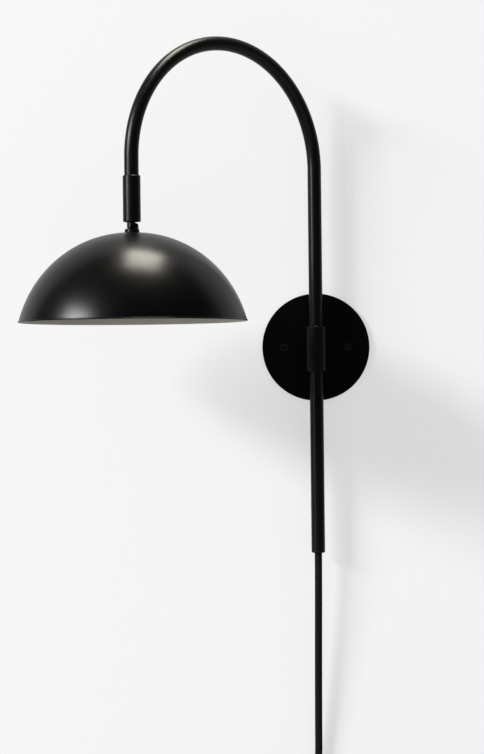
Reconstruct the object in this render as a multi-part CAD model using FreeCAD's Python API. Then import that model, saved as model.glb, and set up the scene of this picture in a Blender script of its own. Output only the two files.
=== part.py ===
"""Arched wall sconce: a round backplate, a bracket sleeve, a swinging cane-shaped tube,
a tilting dome shade, and a straight tail tube that lets the supply cord out at its foot.

Millimetres. The origin is the centre of the backplate's back face, on the wall.
+Z is up, +Y points into the wall, +X is to the right for someone facing the wall.
"""
import FreeCAD
import Part
import math
import os

V = FreeCAD.Vector

# ---- driving dimensions -------------------------------------------------------------
# backplate and the two screws that hold it to the wall
plate_dia = 127.0
plate_thick = 5.0
plate_edge_round = 0.7
wall_screw_spacing = 75.0
wall_screw_thread_dia = 4.8
wall_screw_neck_dia = 4.2
wall_screw_point_dia = 0.6
wall_screw_head_dia = 10.2
wall_screw_length = 38.0
cross_width = 1.1
cross_reach = 5.6
cross_depth = 1.8
screw_hole_gap = 0.2

# bracket: a post carries the sleeve that both tubes enter
stand_off = 25.0
post_dia = 16.0
post_screw_dia = 6.0
post_screw_head_dia = 11.0
post_screw_bite = 5.8
post_screw_sink = 0.3
sleeve_dia = 24.0
sleeve_stack = 52.6
sleeve_drop = 2.4
sleeve_edge = 0.4
web_thick = 7.0
web_hole_dia = 9.0
bush_wall = 1.4
bush_flange_dia = 22.8
bush_flange_thick = 0.6

# tubes
tube_dia = 16.0
tube_wall = 1.5
arch_radius = 137.0
arch_spring = 208.0
arch_turn = 42.0
arch_leg_gap = 4.1
tail_end = -241.0
fit_gap = 0.05
seat_gap = 0.3

# swivel: collar on the arch tube, and a stop screw that runs in a slot of the tube
collar_height = 4.1
collar_edge = 0.5
collar_lip_wall = 1.1
collar_lip_height = 0.6
collar_screw_dia = 3.0
swing_in = 18.0
swing_out = 114.0
stop_screw_z = 12.0
stop_screw_dia = 4.0
stop_dog_dia = 2.8
slot_gap = 0.3
tail_screw_z = -20.0
grub_recess = 0.4

# tail gland and cord grip
gland_length = 18.0
gland_flange = 2.4
gland_chamfer = 1.3
gland_gap = 0.2
gland_lead_in = 0.8
grip_height = 12.0
grip_split = 1.2
grip_gap = 0.15

# hanging end of the arch tube
end_sleeve_dia = 19.6
end_sleeve_bottom = 136.7
end_sleeve_length = 51.5
end_sleeve_chamfer = 0.8
end_sleeve_round = 1.2
stem_dia = 11.7
stem_bearing = 12.0
stem_thread_dia = 9.9
stem_thread_length = 7.2
stem_bore_dia = 6.4
stem_show = 0.2
stem_floor = 1.0
pan_washer_thick = 0.6
pan_washer_gap = 0.1
pan_nut_dia = 14.0
pan_nut_thick = 4.0
pan_nut_slot = 1.6

# tilt joint: two half-lap ears on one screw, with 45 degree shoulders as stops
ear_round = 3.3
ear_gap = 0.4
pivot_gap = 0.6
lap_gap = 0.15
tilt_stop = 45.0
seat_dia = 15.0
cheek_reach = 5.0
cheek_foot = 3.4
pivot_dia = 3.0
pivot_head_dia = 5.2
pivot_head_thick = 1.6
pivot_bite = 4.2
pivot_washer_thick = 0.5
pivot_slot_width = 0.8
pivot_slot_depth = 0.8
neck_ring_dia = 16.4
neck_ring_height = 3.27
neck_ring_edge = 0.3
seat_disc_thick = 0.5
neck_groove = 0.4
neck_groove_depth = 0.5

# dome shade: half of an ellipsoid, spun from sheet, with a curled rim
dome_half_width = 131.4
dome_half_height = 137.2
dome_depth = 98.23
dome_wall = 1.2
dome_flat_dia = 18.0
rim_bead = 1.3
thread_gap = 0.05
hole_gap = 0.15
nut_gap = 0.2
nipple_dia = 9.9
nipple_bore_dia = 6.6
nipple_in_seat = 2.4
nipple_in_cap = 5.0
shade_washer_dia = 17.4
shade_washer_thick = 1.0
shade_nut_flats = 14.0
shade_nut_thick = 3.0

# lamp holder and lamp
cap_height = 15.5
cap_wall = 1.8
cap_neck_dia = 17.0
cap_skirt = 5.0
cap_swell = 0.7
cap_gap = 0.1
holder_dia = 38.0
holder_height = 23.5
holder_wall = 2.4
holder_lip = 1.2
holder_lip_edge = 0.5
holder_lip_height = 2.0
holder_mouth = 0.8
block_thick = 5.0
block_rim = 0.6
block_step = 2.5
shell_inner_dia = 26.5
shell_wall = 0.35
shell_height = 21.0
thread_pitch = 3.6
thread_depth = 0.55
contact_width = 5.0
contact_thick = 0.5
contact_drop = 2.2
contact_reach = 8.0
lamp_length = 68.8
lamp_cap_dia = 26.0
lamp_cap_length = 22.0
lamp_tip_dia = 9.0
lamp_globe_dia = 45.0
lamp_neck_dia = 25.0
lamp_glass = 1.0
lamp_cap_skirt = 4.0
lamp_cone = 2.6
lamp_shoulder = 42.0
lamp_waist = 1.0

# wires
wire_dia = 1.9
wire_ring = 1.9
wire_count = 3

# supply cord: textile covered, three cores
cord_dia = 8.2
lead_gap = 0.4
coil_pitch = 8.9
coil_outer_radius = 57.0
coil_whole_turns = 5
coil_centre_x = -1.8
coil_centre_z = -585.0
coil_back_y = -6.5
coil_start = 135.0
quarter_spans = 9
tie_angle = 157.0
tie_width = 12.0
tie_thick = 1.2
tie_round = 3.0
tie_gap = 0.3

# grounded plug
relief_length = 32.0
relief_top_dia = 9.2
relief_foot_dia = 12.6
relief_ribs = 6
relief_groove = 0.7
plug_height = 34.0
plug_width = 26.0
plug_depth = 23.0
plug_shoulder_width = 15.0
plug_shoulder_height = 11.9
plug_round = 4.0
blade_width = 6.35
blade_thick = 1.52
blade_length = 17.3
blade_spacing = 12.7
blade_chamfer = 0.4
earth_dia = 4.76
earth_length = 20.3
earth_offset = 11.9

# ---- places worked out from them ----------------------------------------------------
tube_r = tube_dia / 2
bore_r = tube_r - tube_wall
axis_y = -stand_off
stack_top = sleeve_stack / 2 - sleeve_drop
stack_foot = stack_top - sleeve_stack
collar_foot = stack_top - collar_height
sleeve_top = collar_foot - bush_flange_thick - fit_gap
web_top = web_thick / 2
web_foot = -web_thick / 2
bush_r = tube_r + fit_gap + bush_wall
span = 2 * arch_radius
turn = math.radians(arch_turn)
arm_dir = V(-math.cos(turn), -math.sin(turn), 0)
lap_dir = arm_dir * -1
side_dir = V(math.sin(turn), -math.cos(turn), 0)
foot = V(0, axis_y, 0)
hang = foot + arm_dir * span
end_sleeve_top = end_sleeve_bottom + end_sleeve_length
stem_top = end_sleeve_bottom + stem_bearing
thread_top = stem_top + stem_thread_length
arch_leg_end = thread_top + arch_leg_gap
pivot_z = end_sleeve_bottom - pivot_gap - ear_round
floor_z = pivot_z - ear_round - ear_gap
neck_ring_top = floor_z - seat_disc_thick - neck_groove
dome_flat_z = neck_ring_top - neck_ring_height
dome_rim = dome_flat_z - dome_depth
flat_share = dome_flat_dia / 2 / dome_half_width
dome_centre_z = dome_flat_z - dome_half_height * math.sqrt(1 - flat_share ** 2)
cord_r = cord_dia / 2
coil_centre = V(coil_centre_x, 0, coil_centre_z)
coil_front_y = coil_back_y - coil_pitch

# the free cord's route from the gland to its coil: points chosen by hand
cord_route = [
    V(0.0, axis_y, tail_end),
    V(0.0, axis_y, -268.0),
    V(-0.4, -22.6, -311.0),
    V(-0.9, -19.2, -357.0),
    V(-1.3, -15.4, -404.0),
    V(-1.6, -11.3, -452.0),
]


def at(height):
    """The point of the bracket's axis at a height."""
    return V(0, axis_y, height)


def at_shade(height):
    """The point of the shade's axis at a height."""
    return V(hang.x, hang.y, height)


def rod(start, end, diameter):
    """A round bar from one point to another."""
    return Part.makeCylinder(diameter / 2, (end - start).Length, start, end - start)


def pipe(start, end, outer_dia, inner_dia):
    """A round tube from one point to another."""
    return rod(start, end, outer_dia).cut(rod(start, end, inner_dia))


def cone(start, end, start_dia, end_dia):
    """A tapered bar from one point to another."""
    return Part.makeCone(start_dia / 2, end_dia / 2, (end - start).Length, start, end - start)


def turned(edges, centre):
    """A solid of revolution about the vertical line through centre, from a closed XZ outline."""
    face = Part.Face(Part.Wire(edges))
    return face.revolve(V(0, 0, 0), V(0, 0, 1), 360).translated(V(centre.x, centre.y, 0))


def turned_points(points, centre):
    """The same, from the corners of an outline given as radius and height."""
    loop = [V(r, 0, z) for r, z in points]
    loop.append(loop[0])
    edges = [Part.makeLine(a, b) for a, b in zip(loop, loop[1:])]
    return turned(edges, centre)


def hexagon(centre, flats, height):
    """An upright hexagonal prism, its foot at centre."""
    reach = flats / 2 / math.cos(math.pi / 6)
    corners = []
    for i in range(7):
        angle = math.radians(60 * i)
        corners.append(centre + V(reach * math.cos(angle), reach * math.sin(angle), 0))
    return Part.Face(Part.makePolygon(corners)).extrude(V(0, 0, height))


def level_edges(solid, height):
    """The edges that lie flat at a height."""
    found = []
    for edge in solid.Edges:
        box = edge.BoundBox
        if abs(box.ZMin - height) < 1e-4 and abs(box.ZMax - height) < 1e-4:
            found.append(edge)
    return found


def grub(start, end, diameter):
    """A headless screw with a hexagon socket in the end where it starts."""
    body = rod(start, end, diameter)
    way = (end - start).normalize()
    socket = Part.makeCylinder(diameter / 4, diameter / 2, start, way)
    return body.cut(socket)


# ---- wall side ----------------------------------------------------------------------
def screw_places():
    return [V(-wall_screw_spacing / 2, 0, 0), V(wall_screw_spacing / 2, 0, 0)]


def countersink(place, shank_dia, head_dia, face_y, way):
    """A countersunk hole or head: a cone that opens to face_y, on a round shank line."""
    depth = (head_dia - shank_dia) / 2
    top = V(place.x, face_y, place.z)
    return cone(top, top + V(0, way * depth, 0), head_dia, shank_dia)


def backplate():
    plate = rod(V(0, 0, 0), V(0, -plate_thick, 0), plate_dia)
    front = [e for e in plate.Edges if e.BoundBox.YMax < -plate_thick + 1e-4]
    plate = plate.makeFillet(plate_edge_round, front)
    for place in screw_places():
        far = V(place.x, -plate_thick, place.z)
        plate = plate.cut(rod(place, far, wall_screw_thread_dia + 2 * screw_hole_gap))
        hole_head = wall_screw_head_dia + 2 * screw_hole_gap
        plate = plate.cut(
            countersink(place, wall_screw_neck_dia, hole_head, -plate_thick, 1)
        )
    clear_dia = post_screw_dia + 2 * screw_hole_gap
    plate = plate.cut(rod(V(0, 0, 0), V(0, -plate_thick, 0), clear_dia))
    seat_dia_at_back = post_screw_head_dia + 2 * post_screw_sink + 2 * fit_gap
    return plate.cut(countersink(V(0, 0, 0), post_screw_dia, seat_dia_at_back, 0, -1))


def wall_screws():
    """Two countersunk screws with cross recesses, as one group of separate solids.

    A plain neck passes the plate, and the thread, drawn plain, starts at the wall.
    """
    screws = []
    for place in screw_places():
        face = V(place.x, -plate_thick, place.z)
        tip = face + V(0, wall_screw_length, 0)
        taper = tip - V(0, wall_screw_thread_dia, 0)
        screw = rod(face, place, wall_screw_neck_dia)
        screw = screw.fuse(rod(place, taper, wall_screw_thread_dia))
        screw = screw.fuse(cone(taper, tip, wall_screw_thread_dia, wall_screw_point_dia))
        head = countersink(place, wall_screw_neck_dia, wall_screw_head_dia, -plate_thick, 1)
        screw = screw.fuse(head)
        for size in ((cross_reach, cross_width), (cross_width, cross_reach)):
            corner = face - V(size[0] / 2, 0, size[1] / 2)
            screw = screw.cut(Part.makeBox(size[0], cross_depth, size[1], corner))
        screws.append(screw.removeSplitter())
    return Part.makeCompound(screws)


def standoff_post():
    post = rod(V(0, -plate_thick, 0), at(0), post_dia)
    post = post.cut(rod(at(-post_dia), at(post_dia), sleeve_dia + 2 * fit_gap))
    return post.cut(rod(V(0, 0, 0), at(0), post_screw_dia + 2 * screw_hole_gap))


def post_screw():
    """Countersunk machine screw, from the back of the plate through the post into the sleeve."""
    tip = V(0, axis_y + sleeve_dia / 2 - post_screw_bite, 0)
    screw = rod(V(0, -post_screw_sink, 0), tip, post_screw_dia)
    head = countersink(
        V(0, 0, 0), post_screw_dia, post_screw_head_dia, -post_screw_sink, -1
    )
    socket = rod(V(0, 0, 0), V(0, -post_screw_dia / 2, 0), post_screw_dia / 2)
    return screw.fuse(head).cut(socket).removeSplitter()


# ---- bracket sleeve and its swivel --------------------------------------------------
def bracket_sleeve():
    r = sleeve_dia / 2
    edge = sleeve_edge
    sleeve = turned_points(
        [
            (0, stack_foot),
            (r - edge, stack_foot),
            (r, stack_foot + edge),
            (r, sleeve_top - edge),
            (r - edge, sleeve_top),
            (0, sleeve_top),
        ],
        foot,
    )
    sleeve = sleeve.cut(rod(at(web_top), at(sleeve_top + 1), 2 * bush_r + 2 * fit_gap))
    sleeve = sleeve.cut(rod(at(stack_foot - 1), at(web_foot), tube_dia + 2 * fit_gap))
    sleeve = sleeve.cut(rod(at(web_foot - 1), at(web_top + 1), web_hole_dia))
    back = V(0, axis_y + r, 0)
    bite = V(0, -post_screw_bite - seat_gap, 0)
    sleeve = sleeve.cut(rod(back + V(0, 1, 0), back + bite, post_screw_dia + 2 * fit_gap))
    for height in (stop_screw_z, tail_screw_z):
        out = at(height) + V(0, r + 1, 0)
        sleeve = sleeve.cut(rod(out, at(height), stop_screw_dia + 2 * fit_gap))
    return sleeve


def swivel_bush():
    """Flanged nylon bush in the sleeve: the arch tube turns in it and the collar rides on it."""
    inner = tube_r + fit_gap
    bush = turned_points(
        [
            (inner, web_top + fit_gap),
            (bush_r, web_top + fit_gap),
            (bush_r, sleeve_top),
            (bush_flange_dia / 2, sleeve_top),
            (bush_flange_dia / 2, sleeve_top + bush_flange_thick),
            (inner, sleeve_top + bush_flange_thick),
        ],
        foot,
    )
    back = at(stop_screw_z) + V(0, sleeve_dia / 2, 0)
    return bush.cut(rod(back, at(stop_screw_z), stop_dog_dia + 2 * slot_gap))


def arm_stop_screw():
    """Dog-point screw in the back of the sleeve: its point runs in the arch tube's slot."""
    back = at(stop_screw_z) + V(0, sleeve_dia / 2 - grub_recess, 0)
    shoulder = at(stop_screw_z) + V(0, bush_r + fit_gap, 0)
    tip = at(stop_screw_z) + V(0, bore_r + slot_gap, 0)
    return grub(back, shoulder, stop_screw_dia).fuse(rod(back - V(0, 2, 0), tip, stop_dog_dia))


def tail_set_screw():
    back = at(tail_screw_z) + V(0, sleeve_dia / 2 - grub_recess, 0)
    return grub(back, at(tail_screw_z) + V(0, tube_r + fit_gap, 0), stop_screw_dia)


def swivel_collar():
    """Ring above the seam: it turns with the arch tube and carries its weight."""
    r = sleeve_dia / 2
    inner = tube_r + fit_gap
    lip = inner + collar_lip_wall
    collar = turned_points(
        [
            (inner, collar_foot),
            (r - collar_edge, collar_foot),
            (r, collar_foot + collar_edge),
            (r, stack_top - collar_edge),
            (r - collar_edge, stack_top),
            (lip, stack_top),
            (inner + collar_lip_wall / 2, stack_top + collar_lip_height),
            (inner, stack_top + collar_lip_height),
        ],
        foot,
    )
    middle = at(collar_foot + collar_height / 2)
    return collar.cut(rod(middle + V(0, r + 1, 0), middle, collar_screw_dia + 2 * fit_gap))


def collar_screw():
    middle = at(collar_foot + collar_height / 2)
    start = middle + V(0, sleeve_dia / 2 - grub_recess, 0)
    return grub(start, middle + V(0, tube_r + fit_gap, 0), collar_screw_dia)


# ---- tubes and what runs in them ----------------------------------------------------
def arch_line(start_z, end_z):
    """The arch's centreline: up from the sleeve, over in a half circle, and down."""
    rise_top = at(arch_spring)
    fall_top = at_shade(arch_spring)
    crown = (rise_top + fall_top) * 0.5 + V(0, 0, arch_radius)
    arc = Part.Arc(rise_top, crown, fall_top).toShape()
    rise = Part.makeLine(at(start_z), rise_top)
    return Part.Wire([rise, arc, Part.makeLine(fall_top, at_shade(end_z))])


def swept(line, radius):
    """A round bar along the arch's centreline."""
    start = line.OrderedVertexes[0].Point
    section = Part.Wire(Part.makeCircle(radius, start, V(0, 0, 1)))
    return line.makePipeShell([section], True, False)


def stop_slot():
    """The stop screw's slot: as far round the tube as the arm swings."""
    spare = math.degrees(math.asin((stop_dog_dia / 2 + slot_gap) / bore_r))
    height = stop_dog_dia + 2 * slot_gap
    low = stop_screw_z - height / 2
    high = stop_screw_z + height / 2
    outline = Part.makePolygon(
        [V(bore_r - 1, 0, low), V(tube_r + 1, 0, low), V(tube_r + 1, 0, high)]
        + [V(bore_r - 1, 0, high), V(bore_r - 1, 0, low)]
    )
    sweep = swing_in + swing_out + 2 * spare
    slot = Part.Face(outline).revolve(V(0, 0, 0), V(0, 0, 1), sweep)
    slot.rotate(V(0, 0, 0), V(0, 0, 1), 90 - swing_out - spare)
    return slot.translated(foot)


def arch_tube():
    line = arch_line(web_top + seat_gap, arch_leg_end)
    return swept(line, tube_r).cut(swept(line, bore_r)).cut(stop_slot())


def arm_lead():
    """The lead inside the arch tube, from the swivel to the top of the knuckle's stem."""
    line = arch_line(web_top + lead_gap, thread_top + 3 * lead_gap)
    return swept(line, cord_r)


def tail_tube():
    tail_foot = tail_end + gland_flange
    return pipe(at(tail_foot), at(web_foot - seat_gap), tube_dia, 2 * bore_r)


def tail_lead():
    return rod(at(tail_end), at(web_top), cord_dia)


def end_gland():
    """Bushing pushed into the tail tube's foot, with a chamfered flange, round the cord."""
    hole = cord_r + gland_gap
    sleeve = bore_r - fit_gap
    top = tail_end + gland_length
    return turned_points(
        [
            (hole, tail_end),
            (tube_r - gland_chamfer, tail_end),
            (tube_r, tail_end + gland_chamfer),
            (tube_r, tail_end + gland_flange),
            (sleeve, tail_end + gland_flange),
            (sleeve, top),
            (hole + gland_lead_in / 2, top),
            (hole, top - gland_lead_in),
        ],
        foot,
    )


def cord_grip():
    """Split collar clamped on the lead: it sits on the gland and takes the cord's pull."""
    low = tail_end + gland_length + fit_gap
    outer_dia = 2 * bore_r - 2 * grip_gap
    grip = pipe(at(low), at(low + grip_height), outer_dia, cord_dia + 2 * fit_gap)
    split = Part.makeBox(tube_dia, grip_split, grip_height, V(0, axis_y - grip_split / 2, low))
    return grip.cut(split)


# ---- hanging end: sleeve, pan stem, tilt joint --------------------------------------
def end_sleeve():
    r = end_sleeve_dia / 2
    c = end_sleeve_chamfer
    sleeve = turned_points(
        [
            (0, end_sleeve_bottom),
            (r, end_sleeve_bottom),
            (r, end_sleeve_top - c),
            (r - c, end_sleeve_top),
            (0, end_sleeve_top),
        ],
        hang,
    )
    sleeve = sleeve.makeFillet(end_sleeve_round, level_edges(sleeve, end_sleeve_bottom))
    low = at_shade(end_sleeve_bottom - 1)
    sleeve = sleeve.cut(rod(low, at_shade(stem_top + 1), stem_dia + 2 * fit_gap))
    top = at_shade(end_sleeve_top + 1)
    return sleeve.cut(rod(at_shade(stem_top), top, tube_dia + 2 * fit_gap))


def lap_half(side, low, high, radius):
    """The half of a round bar that lies on one side of the lap plane."""
    block = Part.makeBox(2 * radius, 4 * radius, high - low, V(lap_gap, -2 * radius, low))
    if side < 0:
        block.rotate(V(0, 0, 0), V(0, 0, 1), 180)
    block.rotate(V(0, 0, 0), V(0, 0, 1), arch_turn)
    return rod(at_shade(low), at_shade(high), 2 * radius).common(block.translated(hang))


def gable(up, half_width):
    """A prism round the ear: round over the pivot, with shoulders that slope away from it.

    up is 1 for an ear that stands and -1 for one that hangs.
    """
    lean = math.radians(tilt_stop)
    t_side = ear_round * math.sin(lean)
    t_rise = ear_round * math.cos(lean)
    drop = (half_width - t_side) * math.tan(lean)

    def place(side, rise):
        height = V(0, 0, up * rise)
        return at_shade(pivot_z) + side_dir * side + height - lap_dir * half_width

    corner = t_rise - drop
    far = corner - half_width
    edges = [
        Part.Arc(place(-t_side, t_rise), place(0, ear_round), place(t_side, t_rise)).toShape(),
        Part.makeLine(place(t_side, t_rise), place(half_width, corner)),
        Part.makeLine(place(half_width, corner), place(half_width, far)),
        Part.makeLine(place(half_width, far), place(-half_width, far)),
        Part.makeLine(place(-half_width, far), place(-half_width, corner)),
        Part.makeLine(place(-half_width, corner), place(-t_side, t_rise)),
    ]
    return Part.Face(Part.Wire(edges)).extrude(lap_dir * 2 * half_width)


def pivot_hole(reach_in, reach_out, diameter):
    """A bar along the tilt axis, from reach_in before the lap plane to reach_out past it."""
    centre = at_shade(pivot_z)
    return rod(centre - lap_dir * reach_in, centre + lap_dir * reach_out, diameter)


def knuckle_stem():
    """Upper half of the joint: a stem that turns in the end sleeve, over a hanging ear."""
    stem_foot = end_sleeve_bottom - stem_show
    stem = rod(at_shade(stem_foot), at_shade(stem_top), stem_dia)
    stem = stem.fuse(rod(at_shade(stem_top), at_shade(thread_top), stem_thread_dia))
    ear = lap_half(-1, floor_z, stem_foot, stem_dia / 2)
    ear = ear.common(gable(-1, stem_dia))
    stem = stem.fuse(ear).removeSplitter()
    low = at_shade(stem_foot + stem_floor)
    stem = stem.cut(rod(low, at_shade(thread_top), stem_bore_dia))
    return stem.cut(pivot_hole(pivot_bite, stem_dia, pivot_dia))


def pan_washer():
    low = at_shade(stem_top + fit_gap)
    hole_dia = stem_thread_dia + 2 * pan_washer_gap
    return pipe(low, low + V(0, 0, pan_washer_thick), pan_nut_dia, hole_dia)


def pan_nut():
    low = at_shade(stem_top + fit_gap + pan_washer_thick)
    nut = pipe(low, low + V(0, 0, pan_nut_thick), pan_nut_dia, stem_thread_dia)
    deep = pan_nut_slot
    slot = Part.makeBox(2 * pan_nut_dia, deep, deep, V(-pan_nut_dia, -deep / 2, 0))
    return nut.cut(slot.translated(low + V(0, 0, pan_nut_thick - deep)))


def wires(low, high):
    """The lead's cores, side by side on a ring about the shade's axis."""
    cores = []
    for i in range(wire_count):
        angle = 2 * math.pi * i / wire_count
        aside = V(wire_ring * math.cos(angle), wire_ring * math.sin(angle), 0)
        cores.append(rod(at_shade(low) + aside, at_shade(high) + aside, wire_dia))
    return Part.makeCompound(cores)


def stem_wires():
    return wires(end_sleeve_bottom - stem_show + stem_floor + lead_gap, thread_top + lead_gap)


def pivot_washer():
    centre = at_shade(pivot_z)
    face = centre + lap_dir * (cheek_reach + fit_gap)
    return pipe(
        face, face + lap_dir * pivot_washer_thick, pivot_head_dia, pivot_dia + 2 * fit_gap
    )


def pivot_screw():
    """Slotted cheese-head screw: threaded into the hanging ear, the standing ear turns on it."""
    under_head = cheek_reach + 2 * fit_gap + pivot_washer_thick
    screw = pivot_hole(pivot_bite - fit_gap, under_head, pivot_dia)
    centre = at_shade(pivot_z)
    head_end = under_head + pivot_head_thick
    screw = screw.fuse(
        rod(centre + lap_dir * under_head, centre + lap_dir * head_end, pivot_head_dia)
    )
    slot = Part.makeBox(
        pivot_slot_depth + 1, 2 * pivot_head_dia, pivot_slot_width,
        V(head_end - pivot_slot_depth, -pivot_head_dia, -pivot_slot_width / 2),
    )
    slot.rotate(V(0, 0, 0), V(0, 0, 1), arch_turn)
    return screw.cut(slot.translated(centre))


def knuckle_seat():
    """Lower half of the joint: neck ring on the shade, tapped below, with a standing ear."""
    flat = dome_flat_z
    ring_r = neck_ring_dia / 2
    groove_r = seat_dia / 2 - neck_groove_depth
    groove_top = neck_ring_top + neck_groove
    seat = turned_points(
        [
            (0, flat),
            (ring_r - neck_ring_edge, flat),
            (ring_r, flat + neck_ring_edge),
            (ring_r, neck_ring_top - neck_ring_edge),
            (ring_r - neck_ring_edge, neck_ring_top),
            (groove_r, neck_ring_top),
            (groove_r, groove_top),
            (seat_dia / 2, groove_top),
            (seat_dia / 2, floor_z),
            (0, floor_z),
        ],
        hang,
    )
    ear = lap_half(1, groove_top, pivot_z + 2 * ear_round, seat_dia / 2)
    ear = ear.common(gable(1, seat_dia))
    cheek = Part.makeBox(
        seat_dia, 2 * seat_dia, 4 * ear_round, V(cheek_reach, -seat_dia, pivot_z - cheek_foot)
    )
    cheek.rotate(V(0, 0, 0), V(0, 0, 1), arch_turn)
    ear = ear.cut(cheek.translated(hang))
    seat = seat.fuse(ear).removeSplitter()
    tapped_dia = nipple_dia + 2 * thread_gap
    seat = seat.cut(rod(at_shade(flat), at_shade(flat + nipple_in_seat), tapped_dia))
    return seat.cut(pivot_hole(seat_dia, seat_dia, pivot_dia + 2 * fit_gap))


# ---- shade and what holds it --------------------------------------------------------
def dome_curve(inset, top_z, foot_z):
    """The dome's outline, inset from its outer face, from one height down to another."""
    wide = dome_half_width - inset
    tall = dome_half_height - inset

    def place(lift):
        return V(wide * math.cos(lift), 0, dome_centre_z + tall * math.sin(lift))

    high = math.asin((top_z - dome_centre_z) / tall)
    low = math.asin((foot_z - dome_centre_z) / tall)
    middle = V(0, 0, dome_centre_z)
    axes = [middle + V(0, 0, tall), middle + V(wide, 0, 0)]
    axes.sort(key=lambda end: -(end - middle).Length)
    ellipse = Part.Ellipse(axes[0], axes[1], middle)
    start = ellipse.parameter(place(high))
    end = ellipse.parameter(place(low))
    arc = Part.ArcOfEllipse(ellipse, min(start, end), max(start, end)).toShape()
    return arc, place(high), place(low)


def shade():
    """Spun dome with a flat and hole at the top and a curled bead round the rim."""
    flat = dome_flat_z
    bead_top = dome_rim + 2 * rim_bead
    outer, outer_top, outer_foot = dome_curve(0, flat, bead_top)
    inner, inner_top, inner_foot = dome_curve(dome_wall, flat - dome_wall, dome_rim + rim_bead)
    hole_r = nipple_dia / 2 + hole_gap
    bulge = V(outer_foot.x + rim_bead, 0, dome_rim + rim_bead)
    rim_foot = V(outer_foot.x, 0, dome_rim)
    diagonal = rim_bead * math.sqrt(0.5)
    half = V(outer_foot.x + diagonal, 0, dome_rim + rim_bead - diagonal)
    edges = [
        Part.makeLine(V(hole_r, 0, flat), outer_top),
        outer,
        Part.makeLine(outer_foot, bulge),
        Part.Arc(bulge, half, rim_foot).toShape(),
        Part.makeLine(rim_foot, inner_foot),
        inner,
        Part.makeLine(inner_top, V(hole_r, 0, flat - dome_wall)),
        Part.makeLine(V(hole_r, 0, flat - dome_wall), V(hole_r, 0, flat)),
    ]
    return turned(edges, hang)


def cap_top():
    return dome_flat_z - dome_wall - shade_washer_thick - shade_nut_thick - nut_gap


def nipple():
    """Threaded hollow nipple: it joins the neck, the shade and the lamp holder's cap."""
    high = at_shade(dome_flat_z + nipple_in_seat - nut_gap)
    return pipe(at_shade(cap_top() - nipple_in_cap), high, nipple_dia, nipple_bore_dia)


def shade_washer():
    top = at_shade(dome_flat_z - dome_wall)
    low = top - V(0, 0, shade_washer_thick)
    return pipe(low, top, shade_washer_dia, nipple_dia + 2 * hole_gap)


def shade_nut():
    low = at_shade(cap_top() + nut_gap)
    nut = hexagon(low, shade_nut_flats, shade_nut_thick)
    return nut.cut(rod(low, low + V(0, 0, shade_nut_thick), nipple_dia + 2 * thread_gap))


def socket_cap():
    """Domed cap of the lamp holder, tapped for the nipple."""
    top = cap_top()
    low = top - cap_height
    r = holder_dia / 2
    neck = cap_neck_dia / 2
    shoulder = V(r, 0, low + cap_skirt)
    crown = V(neck, 0, top)
    bulge = shoulder + V((neck - r) * (1 - cap_swell), 0, (top - shoulder.z) * cap_swell)
    outer = [
        Part.makeLine(V(0, 0, low), V(r, 0, low)),
        Part.makeLine(V(r, 0, low), shoulder),
        Part.Arc(shoulder, bulge, crown).toShape(),
        Part.makeLine(crown, V(0, 0, top)),
        Part.makeLine(V(0, 0, top), V(0, 0, low)),
    ]
    cap = turned(outer, hang)
    hollow = turned_points(
        [
            (0, low - 1),
            (r - cap_wall, low - 1),
            (r - cap_wall, shoulder.z - cap_wall / 2),
            (neck, top - nipple_in_cap),
            (0, top - nipple_in_cap),
        ],
        hang,
    )
    cap = cap.cut(hollow)
    return cap.cut(rod(at_shade(low), at_shade(top + 1), nipple_dia + 2 * thread_gap))


def holder_top():
    return cap_top() - cap_height - cap_gap


def holder_foot():
    return holder_top() - holder_height


def socket_body():
    """Lower sleeve of the lamp holder: open at the mouth, with a rolled lip."""
    r = holder_dia / 2
    inner = r - holder_wall
    top = holder_top()
    low = holder_foot()
    return turned_points(
        [
            (inner, low + holder_mouth),
            (inner + holder_mouth, low),
            (r + holder_lip - holder_lip_edge, low),
            (r + holder_lip, low + holder_lip_edge),
            (r + holder_lip, low + holder_lip_height),
            (r, low + holder_lip_height + holder_lip / 2),
            (r, top),
            (inner, top),
        ],
        hang,
    )


def block_foot():
    return holder_top() - block_rim + cap_gap


def terminal_block():
    """Insulating disc that carries the screw shell and the centre contact."""
    low = block_foot()
    rim = holder_dia / 2 - holder_wall - 2 * fit_gap
    return turned_points(
        [
            (0, low),
            (rim, low),
            (rim, low + block_rim),
            (rim - block_step, low + block_rim),
            (rim - block_step, low + block_thick),
            (0, low + block_thick),
        ],
        hang,
    )


def threaded_wall(r, low, high, wall):
    """A thin rolled shell with round thread waves, drawn as rings."""
    count = int((high - low) / thread_pitch)
    start = high - count * thread_pitch
    outer = [(r, low)]
    for i in range(count):
        z = start + i * thread_pitch
        outer.append((r, z))
        outer.append((r - thread_depth, z + thread_pitch / 2))
    outer.append((r, high))
    inner = [(a - wall, z) for a, z in reversed(outer)]
    return outer + inner


def screw_shell():
    top = block_foot() - thread_gap
    r = shell_inner_dia / 2 + thread_depth + shell_wall
    return turned_points(threaded_wall(r, top - shell_height, top, shell_wall), hang)


def centre_contact():
    """Sprung tongue under the terminal block, bent down to meet the lamp's tip."""
    top = block_foot() - thread_gap
    tip = top - contact_drop
    thick = contact_thick
    half = contact_reach / 2
    outline = [
        V(-contact_reach, 0, top),
        V(-contact_reach, 0, top - thick),
        V(-half, 0, top - thick),
        V(0, 0, tip - thick),
        V(half, 0, tip - thick),
        V(half, 0, tip),
        V(thick / 2, 0, tip),
        V(thick / 2 - half, 0, top),
        V(-contact_reach, 0, top),
    ]
    tongue = Part.Face(Part.makePolygon(outline)).extrude(V(0, contact_width, 0))
    return tongue.translated(V(hang.x, hang.y - contact_width / 2, 0))


def socket_wires():
    return wires(block_foot() + block_thick + nut_gap, dome_flat_z + nipple_in_seat - nut_gap)


def lamp_tip_z():
    return block_foot() - contact_drop - contact_thick - 2 * thread_gap


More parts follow.
